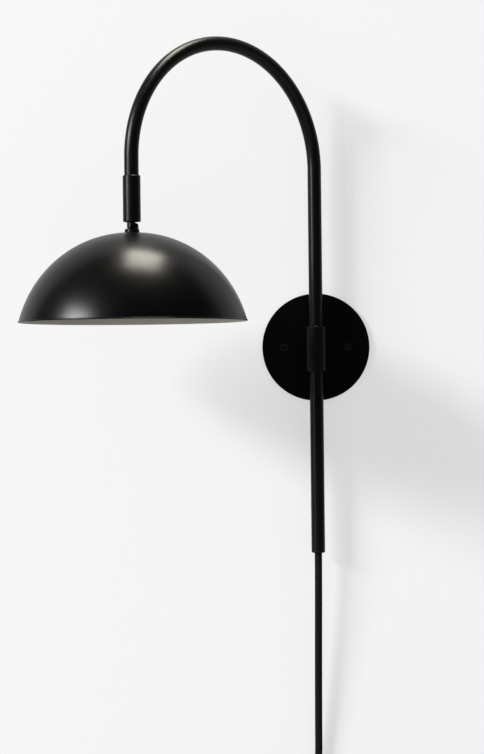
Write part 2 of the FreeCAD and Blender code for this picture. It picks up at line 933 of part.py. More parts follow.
def bulb_base():
    """Screw cap of the lamp, with its insulator cone and tip contact."""
    tip = lamp_tip_z()
    top = tip - lamp_cone
    low = top - lamp_cap_length
    r = lamp_cap_dia / 2
    skirt = low + lamp_cap_skirt
    shoulder = top - lamp_cone / 2
    waves = threaded_wall(r, skirt, shoulder, 0)
    tip_r = lamp_tip_dia / 2
    outline = [(0, low), (r - thread_depth, low), (r - thread_depth, skirt)]
    outline += waves[1:len(waves) // 2]
    outline += [
        (r - lamp_cone, top),
        (tip_r + lamp_cone / 2, top + lamp_cone / 4),
        (tip_r, tip - lamp_cone / 4),
        (tip_r - lamp_cone / 4, tip),
        (0, tip),
    ]
    return turned_points(outline, hang)


def globe_solid(inset):
    """The lamp's ball and neck, inset from the outer face of the glass."""
    top = lamp_tip_z() - lamp_cone - lamp_cap_length - fit_gap
    r = lamp_globe_dia / 2
    centre = V(0, 0, lamp_tip_z() - lamp_length + r)
    r -= inset
    neck = lamp_neck_dia / 2 - inset
    lean = math.radians(lamp_shoulder)
    shoulder = centre + V(r * math.cos(lean), 0, r * math.sin(lean))
    side = centre + V(r * math.cos(lean), 0, -r * math.sin(lean))
    low = centre - V(0, 0, r)
    waist = V((shoulder.x + neck) / 2 - lamp_waist, 0, (shoulder.z + top) / 2)
    edges = [
        Part.Arc(low, side, shoulder).toShape(),
        Part.Arc(shoulder, waist, V(neck, 0, top)).toShape(),
        Part.makeLine(V(neck, 0, top), V(0, 0, top)),
        Part.makeLine(V(0, 0, top), low),
    ]
    return turned(edges, hang)


def bulb_globe():
    """Frosted ball lamp, hollow: it ends a little above the rim's plane."""
    return globe_solid(0).cut(globe_solid(lamp_glass))


# ---- supply cord --------------------------------------------------------------------
def arc_between(start, corner, end):
    """The arc that leaves start towards corner and reaches end, both as far from corner."""
    reach = (corner - start).Length
    chord = (start + end) * 0.5
    cos_half = (start - chord).Length / reach
    sin_half = math.sqrt(1 - cos_half ** 2)
    radius = reach * cos_half / sin_half
    inward = (chord - corner).normalize()
    middle = corner + inward * (radius / cos_half - radius)
    return Part.Arc(start, middle, end).toShape(), radius


def rounded_route(points, name):
    """Straight runs joined by tangent arcs, as large as the runs allow."""
    edges = []
    radii = []
    last = points[0]
    for before, corner, after in zip(points, points[1:], points[2:]):
        run_in = corner - before
        run_out = after - corner
        reach = 0.45 * min(run_in.Length, run_out.Length)
        start = corner - run_in.normalize() * reach
        end = corner + run_out.normalize() * reach
        edges.append(Part.makeLine(last, start))
        arc, radius = arc_between(start, corner, end)
        edges.append(arc)
        radii.append(round(radius))
        last = end
    edges.append(Part.makeLine(last, points[-1]))
    print(name, "arc radii", radii)
    return Part.Wire(edges)


def swept_cord(wire, name):
    """The cord's round solid along a wire, with its volume held against its length."""
    edge = wire.OrderedEdges[0]
    start = edge.valueAt(edge.FirstParameter)
    way = edge.tangentAt(edge.FirstParameter)
    section = Part.Wire(Part.makeCircle(cord_r, start, way))
    solid = wire.makePipeShell([section], True, False)
    wanted = math.pi * cord_r ** 2 * wire.Length
    share = solid.Volume / wanted
    print(name, "length %.1f, volume over section times length %.4f" % (wire.Length, share))
    return solid


# the coil ends where it runs straight down, on its left side
creep = coil_pitch / (2 * math.pi)
coil_sweep = math.radians(360 * coil_whole_turns + 180 - coil_start)
coil_sweep += math.atan(creep / coil_outer_radius)
climb_start = (coil_sweep - math.pi) / 2
climb_end = climb_start + math.pi
coil_inner_radius = coil_outer_radius - creep * climb_start


def coil_state(a):
    """Radius, its rate, depth and its rate at a turned angle from the coil's start.

    It spirals in at the wall side, climbs a layer in half a turn, and spirals out in front.
    """
    if a <= climb_start:
        return coil_outer_radius - creep * a, -creep, coil_back_y, 0.0
    if a >= climb_end:
        return coil_inner_radius + creep * (a - climb_end), creep, coil_front_y, 0.0
    u = a - climb_start
    radius = coil_inner_radius - creep * u + creep * u * u / math.pi
    rate = -creep + 2 * creep * u / math.pi
    depth = coil_back_y - coil_pitch * (1 - math.cos(u)) / 2
    return radius, rate, depth, -coil_pitch * math.sin(u) / 2


def coil_point(a):
    """Where the coil's centreline is at a turned angle, and the way it runs there."""
    radius, rate, depth, sink = coil_state(a)
    phi = math.radians(coil_start) + a
    out = V(math.cos(phi), 0, math.sin(phi))
    along = V(-math.sin(phi), 0, math.cos(phi))
    place = coil_centre + out * radius + V(0, depth, 0)
    way = out * rate + along * radius + V(0, sink, 0)
    return place, way.normalize()


def biarc(start, start_way, end, end_way):
    """Two arcs that join two points with given directions and meet smoothly between."""
    gap = end - start
    both = start_way + end_way
    bend = 2 * (1 - start_way.dot(end_way))
    pull = gap.dot(both)
    reach = (-pull + math.sqrt(pull ** 2 + bend * gap.dot(gap))) / bend
    first = start + start_way * reach
    second = end - end_way * reach
    joint = (first + second) * 0.5
    return [arc_between(start, first, joint)[0], arc_between(joint, second, end)[0]]


def coil_wire():
    """The coil: straight ends one diameter long, and biarcs of about a quarter turn."""
    stops = [climb_start * i / quarter_spans for i in range(quarter_spans)]
    stops += [climb_start, (climb_start + climb_end) / 2]
    stops += [climb_end + climb_start * i / quarter_spans for i in range(quarter_spans + 1)]
    start, start_way = coil_point(0)
    edges = [Part.makeLine(start - start_way * cord_dia, start)]
    for a, b in zip(stops, stops[1:]):
        edges += biarc(*coil_point(a), *coil_point(b))
    end, end_way = coil_point(coil_sweep)
    edges.append(Part.makeLine(end, end + end_way * cord_dia))
    return Part.Wire(edges)


def coil_ends():
    """The centres of the coil's first and last faces."""
    start, start_way = coil_point(0)
    end, end_way = coil_point(coil_sweep)
    return start - start_way * cord_dia, end + end_way * cord_dia


def cord_coil():
    wire = coil_wire()
    points = wire.discretize(Distance=3.0)
    apart = 40
    least = min(
        (points[i] - points[j]).Length
        for i in range(len(points))
        for j in range(i + apart, len(points))
    )
    print("cord_coil least gap to itself %.2f" % (least - cord_dia))
    return swept_cord(wire, "cord_coil")


def cord_drop():
    """The free cord: down from the gland, drifting to the wall, into its put-away coil."""
    start = coil_ends()[0]
    way = coil_point(0)[1]
    corner = start - way * ((start.x - coil_centre_x) / way.x)
    return swept_cord(rounded_route(cord_route + [corner, start], "cord_drop"), "cord_drop")


def cord_tie():
    """Strap round the coil's turns: a rounded loop square to them."""
    phi = math.radians(tie_angle)
    passes = []
    a = phi - math.radians(coil_start)
    while a < coil_sweep:
        if not climb_start < a < climb_end:
            passes.append(coil_state(a)[0])
        a += 2 * math.pi
    bow = tie_width ** 2 / 8 / min(passes)
    low = min(passes) - bow - cord_r - tie_gap
    high = max(passes) + cord_r + tie_gap
    back = coil_back_y + cord_r + tie_gap
    front = coil_front_y - cord_r - tie_gap
    loop = None
    for grow in (tie_thick, 0):
        size = V(high - low + 2 * grow, back - front + 2 * grow, tie_width)
        corner = V(low - grow, front - grow, -tie_width / 2)
        block = Part.makeBox(size.x, size.y, size.z, corner)
        upright = [e for e in block.Edges if abs(e.tangentAt(0).z) > 0.9]
        block = block.makeFillet(tie_round + grow, upright)
        loop = block if loop is None else loop.cut(block)
    out = V(math.cos(phi), 0, math.sin(phi))
    along = V(-math.sin(phi), 0, math.cos(phi))
    turn_to = FreeCAD.Rotation(out, V(0, 1, 0), along * -1, "XYZ")
    loop.Placement = FreeCAD.Placement(coil_centre, turn_to)
    return loop


# ---- plug ---------------------------------------------------------------------------
def plug_axis():
    """The plug hangs straight down from the coil's last face."""
    return coil_ends()[1]


def plug_relief():
    """Tapered, ribbed strain relief between the cord and the plug."""
    top = plug_axis().z
    step = relief_length / (2 * relief_ribs)
    slope = (relief_foot_dia - relief_top_dia) / 2 / relief_length
    outline = [(0, top), (relief_top_dia / 2, top)]
    for i in range(1, 2 * relief_ribs):
        r = relief_top_dia / 2 + slope * step * i
        if i % 2:
            outline += [(r, top - step * i), (r - relief_groove, top - step * i)]
        else:
            outline += [(r - relief_groove, top - step * i), (r, top - step * i)]
    outline += [(relief_foot_dia / 2, top - relief_length), (0, top - relief_length)]
    return turned_points(outline, plug_axis())


def rounded_rectangle(width, depth, corner, height):
    """A closed rounded rectangle about the plug's axis at a height."""
    centre = V(plug_axis().x, plug_axis().y, height)
    x = width / 2
    y = depth / 2
    r = corner
    k = r * (1 - math.sqrt(0.5))
    edges = []
    for sx, sy, swap in ((1, 1, 0), (-1, 1, 1), (-1, -1, 0), (1, -1, 1)):
        side = V(sx * x, sy * (y - r), 0)
        flat = V(sx * (x - r), sy * y, 0)
        middle = V(sx * (x - k), sy * (y - k), 0)
        ends = (flat, side) if swap else (side, flat)
        edges.append(Part.Arc(centre + ends[0], centre + middle, centre + ends[1]).toShape())
    for i in range(4):
        a = edges[i].Vertexes[-1].Point
        b = edges[(i + 1) % 4].Vertexes[0].Point
        edges.append(Part.makeLine(a, b))
    return Part.Wire(Part.__sortEdges__(edges))


def plug_body():
    """Moulded plug body: it swells from the strain relief to the flat face of the blades."""
    top = plug_axis().z - relief_length
    shoulder = top - plug_shoulder_height
    sections = [
        rounded_rectangle(plug_shoulder_width, plug_shoulder_width, plug_round, top),
        rounded_rectangle(plug_width, plug_depth, plug_round, shoulder),
    ]
    body = Part.makeLoft(sections, True, True)
    lower = Part.Face(sections[1]).extrude(V(0, 0, top - plug_height - shoulder))
    return body.fuse(lower).removeSplitter()


def plug_blades():
    """Two flat blades and a round earth pin, as one group of separate solids."""
    face = plug_axis() - V(0, 0, relief_length + plug_height)
    blade_y = face.y + earth_offset / 2
    blades = []
    for side in (-1, 1):
        x = face.x + side * blade_spacing / 2
        corner = V(x - blade_thick / 2, blade_y - blade_width / 2, face.z - blade_length)
        blade = Part.makeBox(blade_thick, blade_width, blade_length, corner)
        tip = level_edges(blade, face.z - blade_length)
        blades.append(blade.makeChamfer(blade_chamfer, tip))
    earth_top = V(face.x, face.y - earth_offset / 2, face.z)
    r = earth_dia / 2
    straight = earth_length - r
    pin = rod(earth_top, earth_top - V(0, 0, straight), earth_dia)
    nose = Part.makeSphere(r, earth_top - V(0, 0, straight))
    blades.append(pin.fuse(nose).removeSplitter())
    return Part.makeCompound(blades)


NODES = [
    backplate, wall_screws, standoff_post, post_screw, bracket_sleeve, swivel_bush,
    arm_stop_screw, tail_set_screw, swivel_collar, collar_screw, arch_tube, arm_lead,
    tail_tube, tail_lead, end_gland, cord_grip, end_sleeve, knuckle_stem, pan_washer,
    pan_nut, stem_wires, pivot_washer, pivot_screw, knuckle_seat, shade, nipple,
    shade_washer, shade_nut, socket_cap, socket_body, terminal_block, screw_shell,
    centre_contact, socket_wires, bulb_base, bulb_globe, cord_drop, cord_coil, cord_tie,
    plug_relief, plug_body, plug_blades,
]

os.makedirs("parts", exist_ok=True)
for make in NODES:
    solid = make()
    if not solid.isValid() or not solid.Solids:
        print("NOT VALID:", make.__name__)
    solid.exportStep("parts/" + make.__name__ + ".step")
    print("%-16s solids %d volume %.1f" % (make.__name__, len(solid.Solids), solid.Volume))
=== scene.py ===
import math

import bpy
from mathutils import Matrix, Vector


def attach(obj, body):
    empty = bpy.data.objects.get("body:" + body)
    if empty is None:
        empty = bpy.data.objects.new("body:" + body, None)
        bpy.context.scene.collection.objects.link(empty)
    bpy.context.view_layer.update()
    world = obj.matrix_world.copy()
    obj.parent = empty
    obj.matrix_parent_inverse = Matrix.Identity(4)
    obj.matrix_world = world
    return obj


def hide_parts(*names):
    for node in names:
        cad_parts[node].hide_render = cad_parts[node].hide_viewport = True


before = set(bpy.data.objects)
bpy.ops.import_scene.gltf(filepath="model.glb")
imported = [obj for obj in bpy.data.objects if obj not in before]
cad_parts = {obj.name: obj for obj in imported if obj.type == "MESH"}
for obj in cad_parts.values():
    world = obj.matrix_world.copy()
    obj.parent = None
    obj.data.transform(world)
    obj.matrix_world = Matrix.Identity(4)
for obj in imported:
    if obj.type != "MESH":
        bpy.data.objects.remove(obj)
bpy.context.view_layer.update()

mm = 0.001
scene = bpy.context.scene
scene.view_settings.view_transform = "Standard"

# ---- camera --------------------------------------------------------------------------
# The viewer stands 2.73 m from the wall, a little left of the bracket and below it, looks
# slightly left and up, and the picture leans by about half a degree, as the photo does.
view_lens = 109.72
view_lean = math.radians(0.62)
view_left = math.radians(1.054)
view_up = math.radians(0.169)
viewer = (-38 * mm, -2734 * mm, -42.6 * mm)
bpy.ops.object.camera_add(
    location=viewer, rotation=(math.pi / 2 + view_up, view_lean, view_left)
)
camera = bpy.context.object
camera.data.lens = view_lens
camera.data.sensor_width = 36.0
camera.data.clip_start = 0.1
camera.data.clip_end = 40.0
scene.camera = camera

# ---- wall and floor ------------------------------------------------------------------
# A plain pale wall that the plate lies on, and a pale floor far below. The wall shows its
# even tone from the front, keeps the shadows, and is clear when it is looked at from behind.
wall_tone = (0.905, 0.905, 0.905, 1.0)
wall_own_light = 0.59
floor_own_light = 0.55
mirrored_share = 0.65
matt_tone = 0.45
wall_size = 1.7
floor_size = 9
floor_height = -1.5


def maths(made, join, operation, *values):
    """One arithmetic node; each value is a number or a socket."""
    node = made.new("ShaderNodeMath")
    node.operation = operation
    for socket, value in zip(node.inputs, values):
        if isinstance(value, (int, float)):
            socket.default_value = value
        else:
            join(value, socket)
    return node.outputs[0]


def pale_surface(name, own_light):
    """A matt pale surface whose even tone comes partly from its own light."""
    material = bpy.data.materials.new(name)
    material.use_nodes = True
    made = material.node_tree.nodes
    join = material.node_tree.links.new
    made.clear()
    matt = made.new("ShaderNodeBsdfDiffuse")
    matt.inputs["Color"].default_value = (matt_tone, matt_tone, matt_tone, 1)
    glow = made.new("ShaderNodeEmission")
    glow.inputs["Color"].default_value = wall_tone
    path = made.new("ShaderNodeLightPath")
    mirrored = maths(made, join, "MULTIPLY", path.outputs["Is Glossy Ray"], mirrored_share)
    seen = maths(made, join, "MAXIMUM", path.outputs["Is Camera Ray"], mirrored)
    through = maths(made, join, "MAXIMUM", seen, path.outputs["Is Transmission Ray"])
    join(maths(made, join, "MULTIPLY", through, own_light), glow.inputs["Strength"])
    both = made.new("ShaderNodeAddShader")
    join(matt.outputs[0], both.inputs[0])
    join(glow.outputs[0], both.inputs[1])
    clear = made.new("ShaderNodeBsdfTransparent")
    side = made.new("ShaderNodeNewGeometry")
    choose = made.new("ShaderNodeMixShader")
    join(side.outputs["Backfacing"], choose.inputs[0])
    join(both.outputs[0], choose.inputs[1])
    join(clear.outputs[0], choose.inputs[2])
    out = made.new("ShaderNodeOutputMaterial")
    join(choose.outputs[0], out.inputs["Surface"])
    return material


bpy.ops.mesh.primitive_plane_add(
    size=wall_size, location=(0, 0, 0), rotation=(math.pi / 2, 0, 0)
)
wall = bpy.context.object
wall.name = "wall_backdrop"
wall.data.materials.append(pale_surface("pale_wall", wall_own_light))
bpy.ops.mesh.primitive_plane_add(size=floor_size, location=(0, -floor_size / 2, floor_height))
floor = bpy.context.object
floor.name = "floor"
floor.data.materials.append(pale_surface("pale_floor", floor_own_light))

# ---- light ---------------------------------------------------------------------------
# Two large white lamps far to the upper left light the object and cast its soft shadows. A
# warm card overhead, two cool cards on the left and a weak one on the right show only as
# reflections. The room is dim, so that the black paint stays black.
object_middle = Vector((-140 * mm, -120 * mm, 100 * mm))
key_distance = 10
card_distance = 3
overhead_distance = 0.95
white_light = (1.0, 1.0, 1.0)
cool_light = (0.96, 0.93, 1.0)
warm_light = (1.0, 0.95, 0.83)
room_light = 0.36


def soft_light(name, direction, distance, size, watts, colour):
    """A rectangular area light that points at the object's middle."""
    place = object_middle + Vector(direction).normalized() * distance
    bpy.ops.object.light_add(type="AREA", location=place)
    light = bpy.context.object
    light.name = name
    light.data.shape = "RECTANGLE"
    light.data.size = size[0]
    light.data.size_y = size[1]
    light.data.energy = watts
    light.data.color = colour
    light.rotation_mode = "QUATERNION"
    light.rotation_quaternion = (place - object_middle).to_track_quat("Z", "Y")
    return light


def gloss_card(*settings):
    """A soft light that shows only as a reflection."""
    card = soft_light(*settings)
    card.visible_diffuse = False
    return card


soft_light("key_near", (-0.712, -0.595, 0.375), key_distance, (1.6, 1.4), 430, white_light)
soft_light("key_left", (-0.797, -0.443, 0.412), key_distance, (2.4, 1.4), 540, white_light)
overhead = gloss_card(
    "overhead_warm", (0.07, -0.05, 0.99), overhead_distance, (0.4, 0.46), 17, warm_light
)
overhead.rotation_quaternion = (1, 0, 0, 0)
gloss_card("side_card", (-0.82, -0.53, 0.16), card_distance, (0.6, 0.6), 48, cool_light)
gloss_card("rim_card", (-0.75, -0.50, 0.43), card_distance, (1.3, 0.45), 66, cool_light)
gloss_card("right_card", (0.95, -0.35, 0.0), card_distance, (3.0, 3.0), 4, white_light)

world = bpy.data.worlds.new("room")
scene.world = world
world.use_nodes = True
made = world.node_tree.nodes
join = world.node_tree.links.new
made.clear()
path = made.new("ShaderNodeLightPath")
dim = made.new("ShaderNodeBackground")
dim.inputs["Color"].default_value = (0.97, 0.98, 1.0, 1)
dim.inputs["Strength"].default_value = room_light
pale = made.new("ShaderNodeBackground")
pale.inputs["Color"].default_value = wall_tone
dark = made.new("ShaderNodeBackground")
dark.inputs["Color"].default_value = (0.02, 0.02, 0.021, 1)
gloss = made.new("ShaderNodeMixShader")
join(path.outputs["Is Glossy Ray"], gloss.inputs[0])
join(dim.outputs[0], gloss.inputs[1])
join(dark.outputs[0], gloss.inputs[2])
shown = made.new("ShaderNodeMixShader")
join(path.outputs["Is Camera Ray"], shown.inputs[0])
join(gloss.outputs[0], shown.inputs[1])
join(pale.outputs[0], shown.inputs[2])
out = made.new("ShaderNodeOutputWorld")
join(shown.outputs[0], out.inputs["Surface"])

# ---- backplate -----------------------------------------------------------------------
# A 5 mm disc of cast metal with a softly rounded front edge, powder coated matt black.
# It is drilled and countersunk for the two wall screws and lies flat on the wall.
axis_y = -25 * mm
plate_radius = 63.5 * mm
plate_thick = 5 * mm
plate_edge = 0.7 * mm
screw_spacing = 75 * mm
screw_hole_radius = 2.6 * mm
countersink_mouth = 5.3 * mm
countersink_deep = 5 * mm
countersink_proud = 1 * mm
bracket_axis = Vector((0, axis_y, 0))


def nothing_selected():
    if bpy.context.mode != "OBJECT":
        bpy.ops.object.mode_set(mode="OBJECT")
    bpy.ops.object.select_all(action="DESELECT")


def only(piece):
    """Selects one object and makes it the active one."""
    nothing_selected()
    piece.select_set(True)
    bpy.context.view_layer.objects.active = piece


def apply_place(piece):
    only(piece)
    bpy.ops.object.transform_apply(location=True, rotation=True, scale=True)


def use_modifier(piece, kind, **settings):
    """Adds a modifier with these settings and applies it."""
    only(piece)
    modifier = piece.modifiers.new(kind.lower(), kind)
    for name, value in settings.items():
        setattr(modifier, name, value)
    bpy.ops.object.modifier_apply(modifier=modifier.name)


def soften(piece, width, segments=2, smooth=40):
    """Rounds the sharp edges by a width and smooths the shading between flat faces."""
    use_modifier(
        piece, "BEVEL", width=width, segments=segments,
        limit_method="ANGLE", angle_limit=math.radians(28), use_clamp_overlap=True,
    )
    only(piece)
    bpy.ops.object.shade_smooth_by_angle(angle=math.radians(smooth))
    use_modifier(piece, "WEIGHTED_NORMAL", keep_sharp=True)


def cut_away(piece, cutters):
    """Takes the cutters' shapes out of a piece and removes them."""
    for cutter in cutters:
        use_modifier(piece, "BOOLEAN", operation="DIFFERENCE", object=cutter, solver="EXACT")
        bpy.data.objects.remove(cutter)


def seat(piece, body, finish, slot, *stands_for):
    """Gives a piece its finish and its body, and hides the nodes that it stands for; slot is not
    used.
    """
    apply_place(piece)
    piece.data.materials.clear()
    piece.data.materials.append(finish)
    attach(piece, body)
    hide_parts(*stands_for)
    nothing_selected()


def shader_of(material):
    """The material's nodes, its link function and its main shader."""
    material.use_nodes = True
    tree = material.node_tree
    return tree.nodes, tree.links.new, tree.nodes["Principled BSDF"]


def new_group(name, inputs, outputs):
    """An empty shader group with named number inputs and outputs."""
    group = bpy.data.node_groups.new(name, "ShaderNodeTree")
    for label, value in inputs:
        socket = group.interface.new_socket(label, in_out="INPUT", socket_type="NodeSocketFloat")
        socket.default_value = value
    for label in outputs:
        group.interface.new_socket(label, in_out="OUTPUT", socket_type="NodeSocketFloat")
    start = group.nodes.new("NodeGroupInput")
    end = group.nodes.new("NodeGroupOutput")
    return group, group.nodes, group.links.new, start, end


def noise(made, join, coordinates, scale, detail, roughness=0.5):
    """A noise texture on the given coordinates; scale is a number or a socket."""
    texture = made.new("ShaderNodeTexNoise")
    join(coordinates, texture.inputs["Vector"])
    if isinstance(scale, (int, float)):
        texture.inputs["Scale"].default_value = scale
    else:
        join(scale, texture.inputs["Scale"])
    texture.inputs["Detail"].default_value = detail
    texture.inputs["Roughness"].default_value = roughness
    return texture


def spread(made, join, value, low, high, from_low=0.0, from_high=1.0):
    """Maps a value from one span to another."""
    node = made.new("ShaderNodeMapRange")
    node.inputs["From Min"].default_value = from_low
    node.inputs["From Max"].default_value = from_high
    for label, end in (("To Min", low), ("To Max", high)):
        if isinstance(end, (int, float)):
            node.inputs[label].default_value = end
        else:
            join(end, node.inputs[label])
    join(value, node.inputs["Value"])
    return node.outputs["Result"]


# powder coat: fine orange peel and slow changes of gloss
powder_coat, made, join, start, end = new_group(
    "powder_coat",
    [("Peel Scale", 900), ("Gloss Low", 0.3), ("Gloss High", 0.4)],
    ["Height", "Roughness"],
)
place = made.new("ShaderNodeTexCoord").outputs["Object"]
peel = noise(made, join, place, start.outputs["Peel Scale"], 2.0)
patches = noise(made, join, place, 14.0, 4.0, 0.6)
rough = spread(
    made, join, patches.outputs["Fac"], start.outputs["Gloss Low"], start.outputs["Gloss High"],
    0.3, 0.7,
)
join(peel.outputs["Fac"], end.inputs["Height"])
join(rough, end.inputs["Roughness"])


def coated_metal(name, colour, gloss, shine, peel_scale):
    """Powder coated metal: its colour, roughness from and to, shine and peel."""
    material = bpy.data.materials.new(name)
    made, join, shader = shader_of(material)
    coat = made.new("ShaderNodeGroup")
    coat.node_tree = powder_coat
    coat.inputs["Peel Scale"].default_value = peel_scale
    coat.inputs["Gloss Low"].default_value = gloss[0]
    coat.inputs["Gloss High"].default_value = gloss[1]
    shader.inputs["Base Color"].default_value = (*colour, 1)
    join(coat.outputs["Roughness"], shader.inputs["Roughness"])
    shader.inputs["Specular IOR Level"].default_value = shine
    bump = made.new("ShaderNodeBump")
    bump.inputs["Strength"].default_value = 0.35
    bump.inputs["Distance"].default_value = 0.02 * mm
    join(coat.outputs["Height"], bump.inputs["Height"])
    join(bump.outputs["Normal"], shader.inputs["Normal"])
    return material


matt_black = coated_metal("matt_black_coat", (0.0006, 0.0006, 0.0006), (0.38, 0.44), 0.06, 1500)

nothing_selected()
bpy.ops.mesh.primitive_cylinder_add(
    vertices=192, radius=plate_radius, depth=plate_thick,
    location=(0, -plate_thick / 2, 0), rotation=(math.pi / 2, 0, 0),
)
backplate = bpy.context.object
backplate.name = "round_backplate"
apply_place(backplate)
countersinks = []
for side in (-1, 1):
    x = side * screw_spacing / 2
    bpy.ops.mesh.primitive_cone_add(
        vertices=64, radius1=countersink_mouth + countersink_proud,
        radius2=countersink_mouth + countersink_proud - countersink_deep,
        depth=countersink_deep, rotation=(-math.pi / 2, 0, 0),
        location=(x, -plate_thick + countersink_deep / 2 - countersink_proud, 0),
    )
    countersinks.append(bpy.context.object)
    bpy.ops.mesh.primitive_cylinder_add(
        vertices=64, radius=screw_hole_radius, depth=4 * plate_thick, location=(x, 0, 0),
        rotation=(math.pi / 2, 0, 0),
    )
    countersinks.append(bpy.context.object)
cut_away(backplate, countersinks)
soften(backplate, plate_edge, segments=4)
seat(backplate, "wall_bracket", matt_black, "black_satin_metal", "backplate")

# ---- wall screws ---------------------------------------------------------------------
# Two black oxide countersunk screws with cross recesses, their heads flush with the plate.
# Each head is a cone, the recess is four tapered wings, and the threaded shank is in the wall.
head_radius = 5.1 * mm
head_deep = 3 * mm
neck_radius = head_radius - head_deep
neck_length = 2 * mm
thread_radius = 2.4 * mm
thread_length = 28.2 * mm
point_length = 4.8 * mm
point_share = 0.125
screw_tip = -plate_thick + head_deep + neck_length + thread_length + point_length
cross_reach = 5.6 * mm
cross_width = 1.15 * mm
cross_depth = 2.2 * mm
cross_proud = 0.2 * mm
cross_taper = 0.45
cross_turn = math.radians(12)
grain_scale = 2200.0
grain_depth = 0.01 * mm


def plain_finish(name, colour, roughness, metallic=0.0, shine=0.5):
    """A single-coloured solid with fine grain and small changes of gloss and tone."""
    material = bpy.data.materials.new(name)
    made, join, shader = shader_of(material)
    place = made.new("ShaderNodeTexCoord").outputs["Object"]
    patches = noise(made, join, place, 60.0, 4.0, 0.6)
    fine = noise(made, join, place, grain_scale, 3.0)
    shade_of = made.new("ShaderNodeMix")
    shade_of.data_type = "RGBA"
    shade_of.inputs["A"].default_value = (*[0.82 * c for c in colour], 1)
    shade_of.inputs["B"].default_value = (*[min(1.0, 1.12 * c) for c in colour], 1)
    join(patches.outputs["Fac"], shade_of.inputs["Factor"])
    join(shade_of.outputs["Result"], shader.inputs["Base Color"])
    rough = spread(
        made, join, patches.outputs["Fac"], roughness * 0.85, min(1.0, roughness * 1.2), 0.3, 0.7
    )
    join(rough, shader.inputs["Roughness"])
    shader.inputs["Metallic"].default_value = metallic
    shader.inputs["Specular IOR Level"].default_value = shine
    bump = made.new("ShaderNodeBump")
    bump.inputs["Strength"].default_value = 0.4
    bump.inputs["Distance"].default_value = grain_depth
    join(fine.outputs["Fac"], bump.inputs["Height"])
    join(bump.outputs["Normal"], shader.inputs["Normal"])
    return material


black_oxide = plain_finish("black_oxide", (0.003, 0.003, 0.0032), 0.4, shine=0.14)

for side, label in ((-1, "left"), (1, "right")):
    x = side * screw_spacing / 2
    bpy.ops.mesh.primitive_cone_add(
        vertices=96, radius1=head_radius, radius2=neck_radius, depth=head_deep,
        location=(x, -plate_thick + head_deep / 2, 0), rotation=(-math.pi / 2, 0, 0),
    )
    screw = bpy.context.object
    screw.name = "wall_screw_" + label
    apply_place(screw)
    only(screw)
    bpy.ops.object.mode_set(mode="EDIT")
    bpy.ops.mesh.select_all(action="DESELECT")
    bpy.ops.object.mode_set(mode="OBJECT")
    for face in screw.data.polygons:
        face.select = face.normal.y > 0.99
    bpy.ops.object.mode_set(mode="EDIT")
    bpy.ops.mesh.extrude_region_move(TRANSFORM_OT_translate={"value": (0, neck_length, 0)})
    bpy.ops.mesh.extrude_region_move(TRANSFORM_OT_translate={"value": (0, 0, 0)})
    grow = thread_radius / neck_radius
    bpy.ops.transform.resize(value=(grow, 1, grow), center_override=(x, 0, 0))
    bpy.ops.mesh.extrude_region_move(TRANSFORM_OT_translate={"value": (0, thread_length, 0)})
    bpy.ops.mesh.extrude_region_move(TRANSFORM_OT_translate={"value": (0, point_length, 0)})
    bpy.ops.transform.resize(
        value=(point_share, 1, point_share), center_override=(x, screw_tip, 0)
    )
    bpy.ops.object.mode_set(mode="OBJECT")
    wings = []
    for turned in (0, math.pi / 2):
        bpy.ops.mesh.primitive_cube_add(
            size=1, location=(x, -plate_thick + cross_depth / 2 - cross_proud, 0),
            scale=(cross_reach, cross_depth + 2 * cross_proud, cross_width),
            rotation=(0, turned + cross_turn * side, 0),
        )
        wing = bpy.context.object
        apply_place(wing)
        only(wing)
        for vertex in wing.data.vertices:
            if vertex.co.y > -plate_thick + cross_depth / 2:
                vertex.co.x = x + (vertex.co.x - x) * cross_taper
                vertex.co.z *= cross_taper
        wings.append(wing)
    cut_away(screw, wings)
    soften(screw, 0.12 * mm, segments=2)
    seat(screw, "wall_bracket", black_oxide, "black_screws", "wall_screws")

# ---- bracket sleeve and post ---------------------------------------------------------
# A turned steel sleeve in front of the plate, on a short post. The tail tube enters it from
# below, and the arch tube turns in a bush above its web. Satin black like the tubes.
satin_black = coated_metal("satin_black_coat", (0.002, 0.002, 0.0021), (0.31, 0.37), 0.15, 1100)
tube = 8.0
bore = 6.5
fit = 0.05
sleeve_radius = 12
sleeve_foot = -28.7
sleeve_top = 19.15
bush_seat = 9.5
web = 3.5
web_hole = 4.5
stop_screw_at = 12
tail_screw_at = -20
grub_hole = 2.05 * mm
post_radius = 8 * mm
post_reach = 14 * mm


def ringed(name, centre, rings, around=96, closed=True):
    """A round piece drawn ring by ring: each ring is pulled from the last and scaled.

    rings are (radius, height) in millimetres. A closed piece's last ring meets its first.
    """
    rings = [(r * mm, z * mm) for r, z in rings]
    if closed:
        rings.append(rings[0])
    radius, height = rings[0]
    nothing_selected()
    bpy.ops.mesh.primitive_circle_add(
        vertices=around, radius=max(radius, 1e-5), location=(centre.x, centre.y, height)
    )
    piece = bpy.context.object
    piece.name = name
    bpy.ops.object.mode_set(mode="EDIT")
    bpy.ops.mesh.select_all(action="SELECT")
    for next_radius, next_height in rings[1:]:
        rise = next_height - height
        bpy.ops.mesh.extrude_region_move(TRANSFORM_OT_translate={"value": (0, 0, rise)})
        scale = max(next_radius, 1e-5) / max(radius, 1e-5)
        bpy.ops.transform.resize(
            value=(scale, scale, 1), center_override=(centre.x, centre.y, next_height)
        )
        radius, height = next_radius, next_height
    bpy.ops.mesh.select_all(action="SELECT")
    bpy.ops.mesh.remove_doubles(threshold=2e-5)
    bpy.ops.mesh.delete_loose(use_verts=True, use_edges=True, use_faces=False)
    bpy.ops.mesh.select_all(action="SELECT")
    bpy.ops.mesh.normals_make_consistent(inside=False)
    bpy.ops.object.mode_set(mode="OBJECT")
    apply_place(piece)
    return piece


